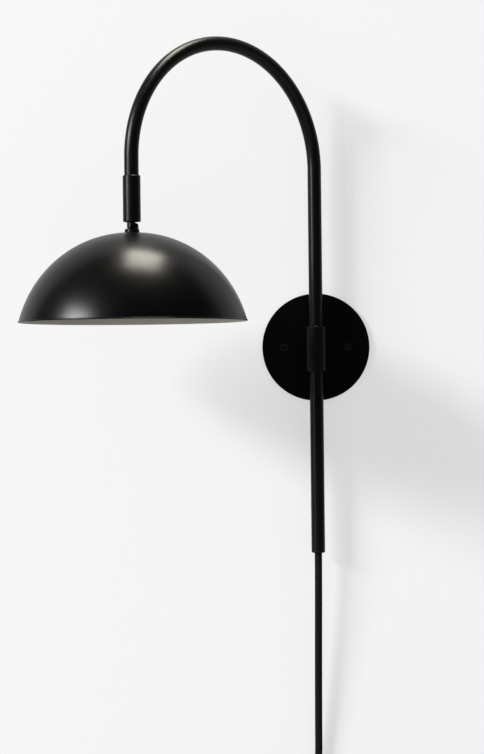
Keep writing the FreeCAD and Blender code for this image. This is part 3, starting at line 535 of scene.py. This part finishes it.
def drill(height, radius):
    """A cutter for a screw hole in the back of the sleeve, at a height in millimetres."""
    bpy.ops.mesh.primitive_cylinder_add(
        vertices=40, radius=radius, depth=12 * mm, rotation=(math.pi / 2, 0, 0),
        location=(0, axis_y + sleeve_radius * mm, height * mm),
    )
    return bpy.context.object


sleeve = ringed(
    "bracket_sleeve_turned", bracket_axis,
    [(tube + fit, sleeve_foot), (sleeve_radius, sleeve_foot), (sleeve_radius, sleeve_top),
     (bush_seat, sleeve_top), (bush_seat, web), (web_hole, web), (web_hole, -web),
     (tube + fit, -web)],
)
cut_away(sleeve, [drill(stop_screw_at, grub_hole), drill(tail_screw_at, grub_hole)])
soften(sleeve, 0.4 * mm, segments=3)
seat(sleeve, "wall_bracket", satin_black, "black_satin_metal", "bracket_sleeve")

nothing_selected()
bpy.ops.mesh.primitive_cylinder_add(
    vertices=96, radius=post_radius, depth=post_reach, rotation=(math.pi / 2, 0, 0),
    location=(0, -plate_thick - post_reach / 2, 0),
)
post = bpy.context.object
post.name = "standoff_post_turned"
apply_place(post)
bpy.ops.mesh.primitive_cylinder_add(
    vertices=96, radius=(sleeve_radius + fit) * mm, depth=40 * mm, location=(0, axis_y, 0)
)
cut_away(post, [bpy.context.object])
soften(post, 0.15 * mm)
seat(post, "wall_bracket", satin_black, "black_satin_metal", "standoff_post")

# ---- swivel collar -------------------------------------------------------------------
# A thin turned ring clamped on the arch tube. It rides on the bush with a hairline seam
# below it, and a small lip rises round the tube.
collar_foot = 19.8
collar_shoulder = 23.9
collar_top = 24.5
collar_screw_hole = 1.55 * mm
collar = ringed(
    "swivel_collar_turned", bracket_axis,
    [(tube + fit, collar_foot), (sleeve_radius, collar_foot), (sleeve_radius, collar_shoulder),
     (9.15, collar_shoulder), (8.6, collar_top), (tube + fit, collar_top)],
)
cut_away(collar, [drill((collar_foot + collar_shoulder) / 2, collar_screw_hole)])
soften(collar, 0.3 * mm, segments=3)
seat(collar, "arm", satin_black, "black_satin_metal", "swivel_collar")

# ---- arch tube -----------------------------------------------------------------------
# One length of 16 mm steel tube: it rises from the sleeve, bends over in a true half circle
# and comes down to the hanging end. The arm stands turned out from the wall.
tube_wall = 1.5 * mm
arch_radius = 137 * mm
arch_spring = 208 * mm
arch_turn = math.radians(42)
arch_foot = 3.8 * mm
arch_leg_end = 160 * mm
arm_way = Vector((-math.cos(arch_turn), -math.sin(arch_turn), 0))
hang = bracket_axis + arm_way * 2 * arch_radius
arch_centre = bracket_axis + arm_way * arch_radius + Vector((0, 0, arch_spring))

nothing_selected()
bpy.ops.mesh.primitive_circle_add(
    vertices=64, radius=tube * mm, location=(0, axis_y, arch_foot)
)
arch = bpy.context.object
arch.name = "arch_tube_bent"
bpy.ops.object.mode_set(mode="EDIT")
bpy.ops.mesh.select_all(action="SELECT")
bpy.ops.mesh.extrude_region_move(
    TRANSFORM_OT_translate={"value": (0, 0, arch_spring - arch_foot)}
)
across_arm = arm_way.cross(Vector((0, 0, 1)))
bpy.ops.mesh.spin(steps=96, angle=math.pi, center=arch_centre, axis=across_arm)
bpy.ops.mesh.extrude_region_move(
    TRANSFORM_OT_translate={"value": (0, 0, arch_leg_end - arch_spring)}
)
bpy.ops.mesh.select_all(action="SELECT")
bpy.ops.mesh.remove_doubles(threshold=1e-6)
bpy.ops.mesh.normals_make_consistent(inside=False)
bpy.ops.object.mode_set(mode="OBJECT")
apply_place(arch)
use_modifier(arch, "SOLIDIFY", thickness=tube_wall, offset=-1)
only(arch)
bpy.ops.object.shade_smooth_by_angle(angle=math.radians(40))
seat(arch, "arm", satin_black, "black_satin_metal", "arch_tube")

# ---- tail tube and gland -------------------------------------------------------------
# A straight length of the same tube below the sleeve. A bushing with a small chamfered
# flange is pushed into its foot, and the cord comes out of it.
tail_foot = -240.1
tail_top = -3.8
gland_foot = -242.5
gland_top = -223
gland_bore = 4.3
gland_chamfer = 1.3
tail = ringed(
    "tail_tube_cut", bracket_axis,
    [(bore, tail_foot), (tube, tail_foot), (tube, tail_top), (bore, tail_top)], 64,
)
soften(tail, 0.12 * mm)
seat(tail, "wall_bracket", satin_black, "black_satin_metal", "tail_tube")

nylon_black = plain_finish("black_nylon", (0.003, 0.003, 0.0032), 0.45, shine=0.12)
gland = ringed(
    "end_gland_moulded", bracket_axis,
    [(gland_bore, gland_foot), (tube - gland_chamfer, gland_foot),
     (tube, gland_foot + gland_chamfer), (tube, tail_foot - fit), (bore - fit, tail_foot),
     (bore - fit, gland_top), (4.7, gland_top), (gland_bore, gland_top - 0.8)], 64,
)
soften(gland, 0.15 * mm)
seat(gland, "wall_bracket", nylon_black, "nylon_black", "end_gland")

# ---- end sleeve ----------------------------------------------------------------------
# A slightly wider turned sleeve over the tube's hanging end. Its foot is rounded, and the
# pan stem turns in its bore.
shade_axis = Vector((hang.x, hang.y, 0))
end_radius = 9.8
end_foot = 136.7
end_top = 188.2
end_round = 1.2
end_chamfer = 0.8
stem_bore = 5.9
tube_seat = 148.7


def arc(radius_at, height_at, size, start, stop, count):
    """Ring sizes along an arc of a ring's outline; angles are in degrees from level."""
    found = []
    for i in range(count + 1):
        angle = math.radians(start + (stop - start) * i / count)
        found.append((radius_at + size * math.cos(angle), height_at + size * math.sin(angle)))
    return found


end_sleeve = ringed(
    "end_sleeve_turned", shade_axis,
    [(stem_bore, end_foot)]
    + arc(end_radius - end_round, end_foot + end_round, end_round, -90, 0, 6)
    + [(end_radius, end_top - end_chamfer), (end_radius - end_chamfer, end_top),
       (tube + fit, end_top), (tube + fit, tube_seat), (stem_bore, tube_seat)],
)
soften(end_sleeve, 0.15 * mm)
seat(end_sleeve, "arm", satin_black, "black_satin_metal", "end_sleeve")

# ---- dome shade ----------------------------------------------------------------------
# Spun from 1.2 mm sheet on an oval former: satin black outside, pale warm grey inside, with
# a curled bead round the rim and a pressed flat with a hole at the top.
dome_half_width = 131.4
dome_half_height = 137.2
dome_wall = 1.2
rim_bead = 0.9
dome_flat = 124.93
dome_flat_radius = 9
shade_hole = 5.1
dome_rim = 26.7
flat_share = dome_flat_radius / dome_half_width
dome_centre = dome_flat - dome_half_height * math.sqrt(1 - flat_share ** 2)
dome_steps = 48
dome_fullness = 1.2


def dome_side(inset, top, foot):
    """Rings down the dome's oval, inset from its outer face, a little fuller at the shoulder."""
    wide = dome_half_width - inset
    tall = dome_half_height - inset
    high = math.asin((top - dome_centre) / tall)
    low = math.asin((foot - dome_centre) / tall)
    found = []
    for i in range(dome_steps + 1):
        lift = high + (low - high) * i / dome_steps
        swell = dome_fullness * math.sin(math.pi * i / dome_steps)
        found.append((
            (wide + swell) * math.cos(lift), dome_centre + (tall + swell) * math.sin(lift)
        ))
    return found


outside = dome_side(0, dome_flat, dome_rim + 2 * rim_bead)
inside = dome_side(dome_wall, dome_flat - dome_wall, dome_rim + rim_bead)
bead = arc(outside[-1][0], dome_rim + rim_bead, rim_bead, 60, -90, 8)
shade = ringed(
    "dome_shade_spun", shade_axis,
    [(shade_hole, dome_flat)] + outside + bead + inside[::-1]
    + [(shade_hole, dome_flat - dome_wall)],
    around=192,
)
only(shade)
bpy.ops.object.shade_smooth_by_angle(angle=math.radians(50))
use_modifier(shade, "WEIGHTED_NORMAL", keep_sharp=True)
shade_black = coated_metal("shade_black_coat", (0.0022, 0.0022, 0.0023), (0.27, 0.32), 0.15, 1000)
shade_pale = coated_metal("shade_pale_inside", (0.53, 0.50, 0.43), (0.5, 0.6), 0.5, 1000)
seat(shade, "shade_head", shade_black, "shade_paint", "shade")
shade.data.materials.append(shade_pale)
for face in shade.data.polygons:
    out = Vector((face.center.x - hang.x, face.center.y - hang.y))
    faces_in = face.normal.x * out.x + face.normal.y * out.y < 0
    below_top = face.center.z < (dome_flat - 0.5 * dome_wall) * mm
    if below_top and (faces_in or face.normal.z < -0.9):
        face.material_index = 1

# ---- supply cord ---------------------------------------------------------------------
# Three-core lead in a black textile braid, 8.7 mm over the braid and 1.80 m long. It hangs
# from the gland towards the wall, and the length past the picture is put away in a two-layer
# coil.
cord_radius = 4.35 * mm
coil_centre = Vector((-1.8 * mm, 0, -585 * mm))
coil_radius = 57 * mm
coil_pitch = 8.9 * mm
coil_back = -6.5 * mm
coil_start = math.radians(135)
coil_turns = 5
turn_points = 24
plug_lead = 8.2 * mm
yarns_round = 12
crossings_a_metre = 420
drop_route = [
    (0.0, -25.0, -241.0), (-0.1, -25.0, -268.0), (-0.5, -22.6, -311.0), (-1.0, -19.2, -357.0),
    (-1.4, -15.4, -404.0), (-1.7, -11.3, -452.0), (-1.8, -6.5, -502.3), (-36.5, -6.5, -538.8),
]
creep = coil_pitch / (2 * math.pi)
coil_sweep = math.radians(360 * coil_turns + 180) - coil_start + math.atan(creep / coil_radius)
climb_start = (coil_sweep - math.pi) / 2
climb_end = climb_start + math.pi
inner_radius = coil_radius - creep * climb_start


def coil_place(turned):
    """A point of the coil: in at the wall side, a climb of half a turn, and out in front."""
    radius = coil_radius - creep * turned
    depth = coil_back
    if turned >= climb_end:
        radius = inner_radius + creep * (turned - climb_end)
        depth = coil_back - coil_pitch
    elif turned > climb_start:
        past = turned - climb_start
        radius = inner_radius - creep * past + creep * past * past / math.pi
        depth = coil_back - coil_pitch * (1 - math.cos(past)) / 2
    angle = coil_start + turned
    return coil_centre + Vector((radius * math.cos(angle), depth, radius * math.sin(angle)))


route = [Vector(point) * mm for point in drop_route]
steps = math.ceil(coil_sweep / (2 * math.pi) * turn_points)
for i in range(steps + 1):
    route.append(coil_place(coil_sweep * i / steps))
route.append(route[-1] - Vector((0, 0, plug_lead)))

line = bpy.data.curves.new("cord_line", "CURVE")
line.dimensions = "3D"
line.resolution_u = 6
spline = line.splines.new("NURBS")
spline.points.add(len(route) - 1)
for point, where in zip(spline.points, route):
    point.co = (*where, 1)
spline.order_u = 3
spline.use_endpoint_u = True
line_object = bpy.data.objects.new("cord_line", line)
scene.collection.objects.link(line_object)
line_mesh = bpy.data.meshes.new_from_object(line_object)
cord_path = [vertex.co.copy() for vertex in line_mesh.vertices]
bpy.data.objects.remove(line_object)

cord_sides = 20
ring_side = Vector((1, 0, 0))
cord_points = []
cord_run = [0.0]
for i, centre in enumerate(cord_path):
    before = cord_path[max(i - 1, 0)]
    after = cord_path[min(i + 1, len(cord_path) - 1)]
    way = (after - before).normalized()
    ring_side = (ring_side - way * ring_side.dot(way)).normalized()
    other = way.cross(ring_side)
    for k in range(cord_sides):
        angle = 2 * math.pi * k / cord_sides
        spoke = ring_side * math.cos(angle) + other * math.sin(angle)
        cord_points.append(centre + spoke * cord_radius)
    if i:
        cord_run.append(cord_run[-1] + (centre - before).length)
faces = []
for i in range(len(cord_path) - 1):
    for k in range(cord_sides):
        a = i * cord_sides + k
        b = i * cord_sides + (k + 1) % cord_sides
        faces.append((a, b, b + cord_sides, a + cord_sides))
last_ring = (len(cord_path) - 1) * cord_sides
faces.append(tuple(reversed(range(cord_sides))))
faces.append(tuple(range(last_ring, last_ring + cord_sides)))
cord_mesh = bpy.data.meshes.new("supply_cord_braided")
cord_mesh.from_pydata(cord_points, [], faces)
wrap = cord_mesh.uv_layers.new(name="along_cord")
for face in cord_mesh.polygons:
    face.use_smooth = len(face.vertices) == 4
    ring = face.index // cord_sides
    side = face.index % cord_sides
    corners = ((side, ring), (side + 1, ring), (side + 1, ring + 1), (side, ring + 1))
    if len(face.vertices) == 4:
        for loop, (k, i) in zip(face.loop_indices, corners):
            wrap.data[loop].uv = (k / cord_sides, cord_run[i])
cord = bpy.data.objects.new("supply_cord_braided", cord_mesh)
scene.collection.objects.link(cord)

# braid: two families of yarns that cross over and under, from the cord's own UV map
braid_weave, made, join, start, end = new_group(
    "braid_weave", [("Yarns Round", 12), ("Crossings A Metre", 420)], ["Height"]
)
wrapped = made.new("ShaderNodeUVMap")
wrapped.uv_map = "along_cord"
split = made.new("ShaderNodeSeparateXYZ")
join(wrapped.outputs[0], split.inputs[0])


def braid_maths(operation, *values):
    """One arithmetic step in the braid group."""
    return maths(made, join, operation, *values)


round_count = braid_maths("MULTIPLY", split.outputs["X"], start.outputs["Yarns Round"])
along_count = braid_maths("MULTIPLY", split.outputs["Y"], start.outputs["Crossings A Metre"])
rising = braid_maths("ADD", round_count, along_count)
falling = braid_maths("SUBTRACT", round_count, along_count)
over = braid_maths(
    "PINGPONG", braid_maths("ADD", braid_maths("FLOOR", rising), braid_maths("FLOOR", falling)), 1.0
)
rise_arch = braid_maths("PINGPONG", rising, 0.5)
fall_arch = braid_maths("PINGPONG", falling, 0.5)
rise_round = braid_maths("POWER", braid_maths("MULTIPLY", rise_arch, 2.0), 0.5)
fall_round = braid_maths("POWER", braid_maths("MULTIPLY", fall_arch, 2.0), 0.5)
top_part = braid_maths("MULTIPLY", rise_round, over)
under_part = braid_maths("MULTIPLY", fall_round, braid_maths("SUBTRACT", 1.0, over))
join(braid_maths("ADD", top_part, under_part), end.inputs["Height"])

cord_braid = bpy.data.materials.new("black_textile_braid")
made, join, shader = shader_of(cord_braid)
braid = made.new("ShaderNodeGroup")
braid.node_tree = braid_weave
braid.inputs["Yarns Round"].default_value = yarns_round
braid.inputs["Crossings A Metre"].default_value = crossings_a_metre
# The braid's height also sets its colour: darker down in the grooves between the yarns as painted
# shade, and lighter on the raised yarn crowns as a painted sheen.
braid_shade_and_sheen = made.new("ShaderNodeMix")
braid_shade_and_sheen.data_type = "RGBA"
braid_shade_and_sheen.inputs["A"].default_value = (0.0003, 0.0003, 0.0003, 1)
braid_shade_and_sheen.inputs["B"].default_value = (0.0055, 0.0055, 0.006, 1)
join(braid.outputs["Height"], braid_shade_and_sheen.inputs["Factor"])
join(braid_shade_and_sheen.outputs["Result"], shader.inputs["Base Color"])
shader.inputs["Roughness"].default_value = 0.6
shader.inputs["Specular IOR Level"].default_value = 0.09
bump = made.new("ShaderNodeBump")
bump.inputs["Strength"].default_value = 1.0
bump.inputs["Distance"].default_value = 0.5 * mm
join(braid.outputs["Height"], bump.inputs["Height"])
join(bump.outputs["Normal"], shader.inputs["Normal"])

seat(cord, "wall_bracket", cord_braid, "cord_braid", "cord_drop", "cord_coil")

# ---- tilt joint ----------------------------------------------------------------------
# Two machined half-lap ears on one screw. The upper ear hangs from the stem that turns in
# the end sleeve, the lower one stands on the neck ring, and 45 degree shoulders stop them.
# Both are drawn at the origin with the tilt axis along X, and then set in their place.
pivot = 132.8
ear_round = 3.3
lap_gap = 0.15


def carve(piece, place, way):
    """Cuts a solid with a plane and removes what lies on the side that way points to."""
    only(piece)
    bpy.ops.object.mode_set(mode="EDIT")
    bpy.ops.mesh.select_all(action="SELECT")
    bpy.ops.mesh.bisect(
        plane_co=[value * mm for value in place], plane_no=way, use_fill=True, clear_outer=True
    )
    bpy.ops.object.mode_set(mode="OBJECT")


def half_lap_ear(radius, low, high, side, up):
    """Half of a round bar, rounded over the pivot and with shoulders that slope away."""
    nothing_selected()
    bpy.ops.mesh.primitive_cylinder_add(
        vertices=96, radius=radius * mm, depth=(high - low) * mm,
        location=(0, 0, (high + low) / 2 * mm),
    )
    ear = bpy.context.object
    apply_place(ear)
    carve(ear, (side * lap_gap, 0, 0), (-side, 0, 0))
    for degrees in range(-45, 46, 9):
        lean = math.radians(degrees)
        way = (0, math.sin(lean), up * math.cos(lean))
        touch = [ear_round * value for value in way]
        carve(ear, (0, touch[1], pivot + touch[2]), way)
    return ear


def join_solid(piece, other):
    """Joins another solid to a piece and keeps the machined edges crisp."""
    use_modifier(piece, "BOOLEAN", operation="UNION", object=other, solver="EXACT")
    bpy.data.objects.remove(other)
    only(piece)
    bpy.ops.object.mode_set(mode="EDIT")
    bpy.ops.mesh.select_all(action="SELECT")
    bpy.ops.mesh.dissolve_degenerate(threshold=1e-6)
    bpy.ops.object.mode_set(mode="OBJECT")
    bpy.ops.object.shade_smooth_by_angle(angle=math.radians(22))


def set_on_shade_axis(piece):
    """Turns a piece to the tilt axis and moves it from the origin to the shade's axis."""
    piece.rotation_euler.z = arch_turn
    piece.location = shade_axis
    apply_place(piece)


origin = Vector((0, 0, 0))
stem = ringed(
    "knuckle_stem_turned", origin,
    [(3.2, 137.5), (0, 137.5), (0, 136.5), (5.65, 136.5), (5.85, 136.7), (5.85, 148.45),
     (5.65, 148.65), (4.95, 148.65), (4.95, 155.7), (4.75, 155.9), (3.2, 155.9)],
)
join_solid(stem, half_lap_ear(5.6, 129.1, 137, -1, -1))
set_on_shade_axis(stem)
seat(stem, "knuckle", satin_black, "black_satin_metal", "knuckle_stem")

neck = ringed(
    "knuckle_seat_turned", origin,
    [(5.05, dome_flat), (7.9, dome_flat), (8.2, dome_flat + 0.3), (8.2, 127.9), (8.1, 128.1),
     (7.9, 128.2), (7.0, 128.2), (7.0, 128.6), (7.4, 128.6), (7.5, 128.7), (7.5, 129.0),
     (7.4, 129.1), (0, 129.1), (0, 127.33), (5.05, 127.33)],
)
standing = half_lap_ear(7.3, 128.7, 136.3, 1, 1)
nothing_selected()
bpy.ops.mesh.primitive_cube_add(
    size=1, location=(10 * mm, 0, 139.4 * mm), scale=(10 * mm, 30 * mm, 20 * mm)
)
cut_away(standing, [bpy.context.object])
join_solid(neck, standing)
set_on_shade_axis(neck)
seat(neck, "shade_head", satin_black, "black_satin_metal", "knuckle_seat")

# ---- pivot screw ---------------------------------------------------------------------
# A black slotted cheese-head machine screw, M3, with its head and thin washer on the right
# cheek. It is threaded into the hanging ear, so that the tilt can be set stiffer.
shank_radius = 1.5 * mm
shank_length = 9.75 * mm
shank_middle = 0.725 * mm
cheese_radius = 2.6 * mm
cheese_thick = 1.6 * mm
cheese_middle = 6.4 * mm
slot_middle = 7.3 * mm
slot_size = (1.8 * mm, 8 * mm, 0.8 * mm)
nothing_selected()
bpy.ops.mesh.primitive_cylinder_add(
    vertices=48, radius=shank_radius, depth=shank_length, rotation=(0, math.pi / 2, 0),
    location=(shank_middle, 0, pivot * mm),
)
pivot_screw = bpy.context.object
pivot_screw.name = "pivot_screw_slotted"
apply_place(pivot_screw)
bpy.ops.mesh.primitive_cylinder_add(
    vertices=64, radius=cheese_radius, depth=cheese_thick, rotation=(0, math.pi / 2, 0),
    location=(cheese_middle, 0, pivot * mm),
)
head = bpy.context.object
apply_place(head)
soften(head, 0.3 * mm, segments=3)
bpy.ops.mesh.primitive_cube_add(
    size=1, location=(slot_middle, 0, pivot * mm), scale=slot_size
)
cut_away(head, [bpy.context.object])
join_solid(pivot_screw, head)
set_on_shade_axis(pivot_screw)
seat(pivot_screw, "knuckle", black_oxide, "black_screws", "pivot_screw")

# ---- lamp holder ---------------------------------------------------------------------
# A black phenolic holder: a domed cap on the nipple and a lower sleeve with a rolled lip.
# Inside it, a rolled brass shell holds the lamp's thread.
cap_top = 119.53
holder_radius = 19.0
holder_top = 103.93
holder_foot = 80.43

phenolic_black = plain_finish("black_phenolic", (0.01, 0.01, 0.01), 0.28)


def swell(start, end, share, count):
    """Ring sizes along an arc-like curve that bulges outward between two rings."""
    found = []
    for i in range(1, count):
        t = i / count
        bulge = share * 4 * t * (1 - t)
        radius = start[0] + (end[0] - start[0]) * t + bulge * abs(end[1] - start[1]) / 2
        height = start[1] + (end[1] - start[1]) * t + bulge * abs(end[0] - start[0]) / 2
        found.append((radius, height))
    return found


cap_foot = cap_top - 15.5
shoulder = (holder_radius, cap_foot + 5)
crown = (8.5, cap_top)
cap = ringed(
    "holder_cap_moulded", shade_axis,
    [(17.2, cap_foot), (holder_radius, cap_foot), shoulder] + swell(shoulder, crown, 0.38, 10)
    + [crown, (5.0, cap_top), (5.0, cap_top - 5), (8.5, cap_top - 5), (17.2, cap_foot + 4.1)],
)
soften(cap, 0.25 * mm)
seat(cap, "shade_head", phenolic_black, "holder_black", "socket_cap")

lip = holder_radius + 1.2
holder = ringed(
    "holder_sleeve_moulded", shade_axis,
    [(16.6, holder_foot + 0.8), (17.4, holder_foot), (lip - 0.5, holder_foot),
     (lip, holder_foot + 0.5), (lip, holder_foot + 2), (holder_radius, holder_foot + 2.6),
     (holder_radius, holder_top), (16.6, holder_top)],
)
soften(holder, 0.25 * mm)
seat(holder, "shade_head", phenolic_black, "holder_black", "socket_body")

# ---- lamp ----------------------------------------------------------------------------
# A short ball lamp of frosted glass. Its plated cap is rolled with a round thread and steps in to a
# small tip at its end.
lamp_tip = 100.53
lamp_low = 31.78
thread_pitch = 3.6
thread_depth = 0.55
thread_rings = 8

lamp_plate = plain_finish("lamp_cap_plate", (0.72, 0.72, 0.74), 0.3, metallic=1.0)
frosted_white = plain_finish("frosted_glass", (0.86, 0.85, 0.82), 0.35)


def roll_thread(piece, centre, low, high, depth):
    """Rolls a helical thread into the rings between two heights."""
    for vertex in piece.data.vertices:
        height = vertex.co.z / mm
        out = Vector((vertex.co.x - centre.x, vertex.co.y - centre.y, 0))
        if low < height < high and out.length > 5 * mm:
            turned = math.atan2(out.y, out.x) / (2 * math.pi)
            wave = 0.5 - 0.5 * math.cos(2 * math.pi * (height / thread_pitch - turned))
            fade = min(1.0, (height - low) / 1.5, (high - height) / 1.5)
            vertex.co -= out.normalized() * depth * wave * fade * mm


cap_low = lamp_tip - 2.6 - 22
steps = int(16 / thread_pitch * thread_rings)
thread = [(13, cap_low + 4.2 + 16 * i / steps) for i in range(steps + 1)]
lamp_cap = ringed(
    "lamp_screw_cap", shade_axis,
    [(0, cap_low), (12.45, cap_low), (12.45, cap_low + 4)] + thread
    + [(13, lamp_tip - 3.9), (10.4, lamp_tip - 2.6), (5.8, lamp_tip - 1.95),
       (4.5, lamp_tip - 0.65), (3.85, lamp_tip), (0, lamp_tip)],
    around=72, closed=False,
)
roll_thread(lamp_cap, shade_axis, cap_low + 4, cap_low + 20.5, thread_depth)
only(lamp_cap)
bpy.ops.object.shade_smooth_by_angle(angle=math.radians(40))
seat(lamp_cap, "shade_head", lamp_plate, "lamp_cap_metal", "bulb_base")

ball = 22.5
ball_middle = lamp_low + ball
glass_top = cap_low - fit


def glass_side(inset):
    """Rings of the lamp's glass from its lowest point up to its neck, set in by the wall."""
    radius = ball - inset
    found = []
    for i in range(33):
        lift = math.radians(-90 + (42 + 90) * i / 32)
        found.append((radius * math.cos(lift), ball_middle + radius * math.sin(lift)))
    shoulder = found[-1]
    neck = (12.5 - inset, glass_top)
    for i in range(1, 9):
        t = i / 8
        slim = 1.1 * 4 * t * (1 - t)
        found.append((
            shoulder[0] + (neck[0] - shoulder[0]) * t - slim,
            shoulder[1] + (neck[1] - shoulder[1]) * t,
        ))
    return found


glass = ringed(
    "lamp_ball_frosted", shade_axis, glass_side(0) + glass_side(1)[::-1], around=128,
    closed=False,
)
only(glass)
bpy.ops.object.shade_smooth_by_angle(angle=math.radians(50))
seat(glass, "shade_head", frosted_white, "frosted_glass", "bulb_globe")

# ---- plug ----------------------------------------------------------------------------
# A moulded grounded plug at the cord's end: ribbed strain relief, a rounded body that
# swells to the flat face, two flat blades with a hole each, and a round earth pin.
plug_axis = Vector((cord_path[-1].x, cord_path[-1].y, 0))
plug_top = cord_path[-1].z / mm
relief_length = 32
relief_steps = 12
relief_top_radius = 4.6
relief_flare = 1.7
relief_foot = plug_top - relief_length
rib_step = relief_length / relief_steps
plug_length = 34
plug_block = 22.1
plug_wide = 26
plug_deep = 23
plug_neck = 15
plug_face = relief_foot - plug_length
pin_radius = 2.38 * mm
pin_length = 17.92 * mm
pin_offset = 5.95 * mm
blade_spread = 6.35 * mm
blade_size = (1.52 * mm, 6.35 * mm, 17.3 * mm)
rubber_black = plain_finish("black_rubber", (0.012, 0.012, 0.012), 0.55)
pin_metal = plain_finish("plug_pin_metal", (0.78, 0.74, 0.62), 0.3, metallic=1.0)

rings = [(0, plug_top), (relief_top_radius, plug_top)]
for i in range(1, relief_steps):
    radius = relief_top_radius + relief_flare * i / relief_steps
    height = plug_top - rib_step * i
    pair = [(radius, height), (radius - 0.7, height)]
    rings += pair if i % 2 else pair[::-1]
relief = ringed(
    "plug_strain_relief", plug_axis,
    rings + [(relief_top_radius + relief_flare, relief_foot), (0, relief_foot)],
    around=48, closed=False,
)
soften(relief, 0.25 * mm)
seat(relief, "wall_bracket", rubber_black, "plug_black", "plug_relief")

nothing_selected()
bpy.ops.mesh.primitive_cube_add(
    size=1, location=(plug_axis.x, plug_axis.y, (plug_face + plug_block / 2) * mm),
    scale=(plug_wide * mm, plug_deep * mm, plug_block * mm),
)
plug = bpy.context.object
plug.name = "plug_body_moulded"
apply_place(plug)


def pick_faces(piece, wanted):
    """Leaves the piece in edit mode with only the wanted faces selected."""
    only(piece)
    bpy.ops.object.mode_set(mode="EDIT")
    bpy.ops.mesh.select_mode(type="FACE")
    bpy.ops.mesh.select_all(action="DESELECT")
    bpy.ops.object.mode_set(mode="OBJECT")
    for face in piece.data.polygons:
        face.select = wanted(face)
    bpy.ops.object.mode_set(mode="EDIT")


pick_faces(plug, lambda face: face.normal.z > 0.9)
bpy.ops.mesh.extrude_region_move(
    TRANSFORM_OT_translate={"value": (0, 0, (plug_length - plug_block) * mm)}
)
bpy.ops.transform.resize(
    value=(plug_neck / plug_wide, plug_neck / plug_deep, 1),
    center_override=(plug_axis.x, plug_axis.y, relief_foot * mm),
)
bpy.ops.object.mode_set(mode="OBJECT")
use_modifier(
    plug, "BEVEL", width=3.6 * mm, segments=6, limit_method="ANGLE",
    angle_limit=math.radians(60),
)
for way in (1, -1):
    pick_faces(plug, lambda face: face.normal.y * way > 0.99 and face.area > 1e-4)
    bpy.ops.mesh.inset(thickness=2.5 * mm)
    bpy.ops.mesh.inset(thickness=0.5 * mm, depth=-0.6 * mm)
    bpy.ops.object.mode_set(mode="OBJECT")
soften(plug, 0.4 * mm, segments=2)
seat(plug, "wall_bracket", rubber_black, "plug_black", "plug_body")

nothing_selected()
bpy.ops.mesh.primitive_uv_sphere_add(
    segments=48, ring_count=24, radius=pin_radius,
    location=(plug_axis.x, plug_axis.y - pin_offset, plug_face * mm - pin_length),
)
pins = bpy.context.object
pins.name = "plug_pins"
pick_faces(pins, lambda face: face.normal.z > 0.02)
bpy.ops.mesh.delete(type="FACE")
bpy.ops.mesh.select_mode(type="VERT")
bpy.ops.mesh.select_all(action="SELECT")
bpy.ops.mesh.region_to_loop()
bpy.ops.mesh.extrude_region_move(TRANSFORM_OT_translate={"value": (0, 0, pin_length)})
bpy.ops.mesh.edge_face_add()
bpy.ops.object.mode_set(mode="OBJECT")
apply_place(pins)
blades = []
for side in (-1, 1):
    blade_x = plug_axis.x + side * blade_spread
    blade_y = plug_axis.y + pin_offset
    bpy.ops.mesh.primitive_cube_add(
        size=1, location=(blade_x, blade_y, plug_face * mm - blade_size[2] / 2),
        scale=blade_size,
    )
    blade = bpy.context.object
    apply_place(blade)
    bpy.ops.mesh.primitive_cylinder_add(
        vertices=32, radius=1.6 * mm, depth=6 * mm, rotation=(0, math.pi / 2, 0),
        location=(blade_x, blade_y, (plug_face - 13.5) * mm),
    )
    cut_away(blade, [bpy.context.object])
    soften(blade, 0.35 * mm)
    blades.append(blade)
nothing_selected()
for blade in blades:
    blade.select_set(True)
pins.select_set(True)
bpy.context.view_layer.objects.active = pins
bpy.ops.object.join()
only(pins)
bpy.ops.object.shade_smooth_by_angle(angle=math.radians(40))
seat(pins, "wall_bracket", pin_metal, "plug_pins", "plug_blades")

# ---- finishes of the pieces that keep their construction shape -----------------------
zinc = plain_finish("zinc_plate", (0.55, 0.55, 0.57), 0.35, metallic=1.0)
brass = plain_finish("drawn_brass", (0.72, 0.55, 0.28), 0.3, metallic=1.0)
insulator_white = plain_finish("white_insulator", (0.78, 0.77, 0.73), 0.45)
core_colour = plain_finish("core_insulation", (0.30, 0.16, 0.07), 0.45)
kept = (
    (black_oxide, ("arm_stop_screw", "tail_set_screw", "collar_screw")),
    (zinc, ("post_screw", "pan_washer", "pan_nut", "pivot_washer", "shade_washer", "shade_nut",
            "cord_grip")),
    (brass, ("nipple", "screw_shell", "centre_contact")),
    (nylon_black, ("swivel_bush",)),
    (insulator_white, ("terminal_block",)),
    (cord_braid, ("tail_lead", "arm_lead")),
    (core_colour, ("stem_wires", "socket_wires")),
    (rubber_black, ("cord_tie",)),
)
for finish, names in kept:
    for name in names:
        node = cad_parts[name]
        node.data.materials.clear()
        node.data.materials.append(finish)

nothing_selected()
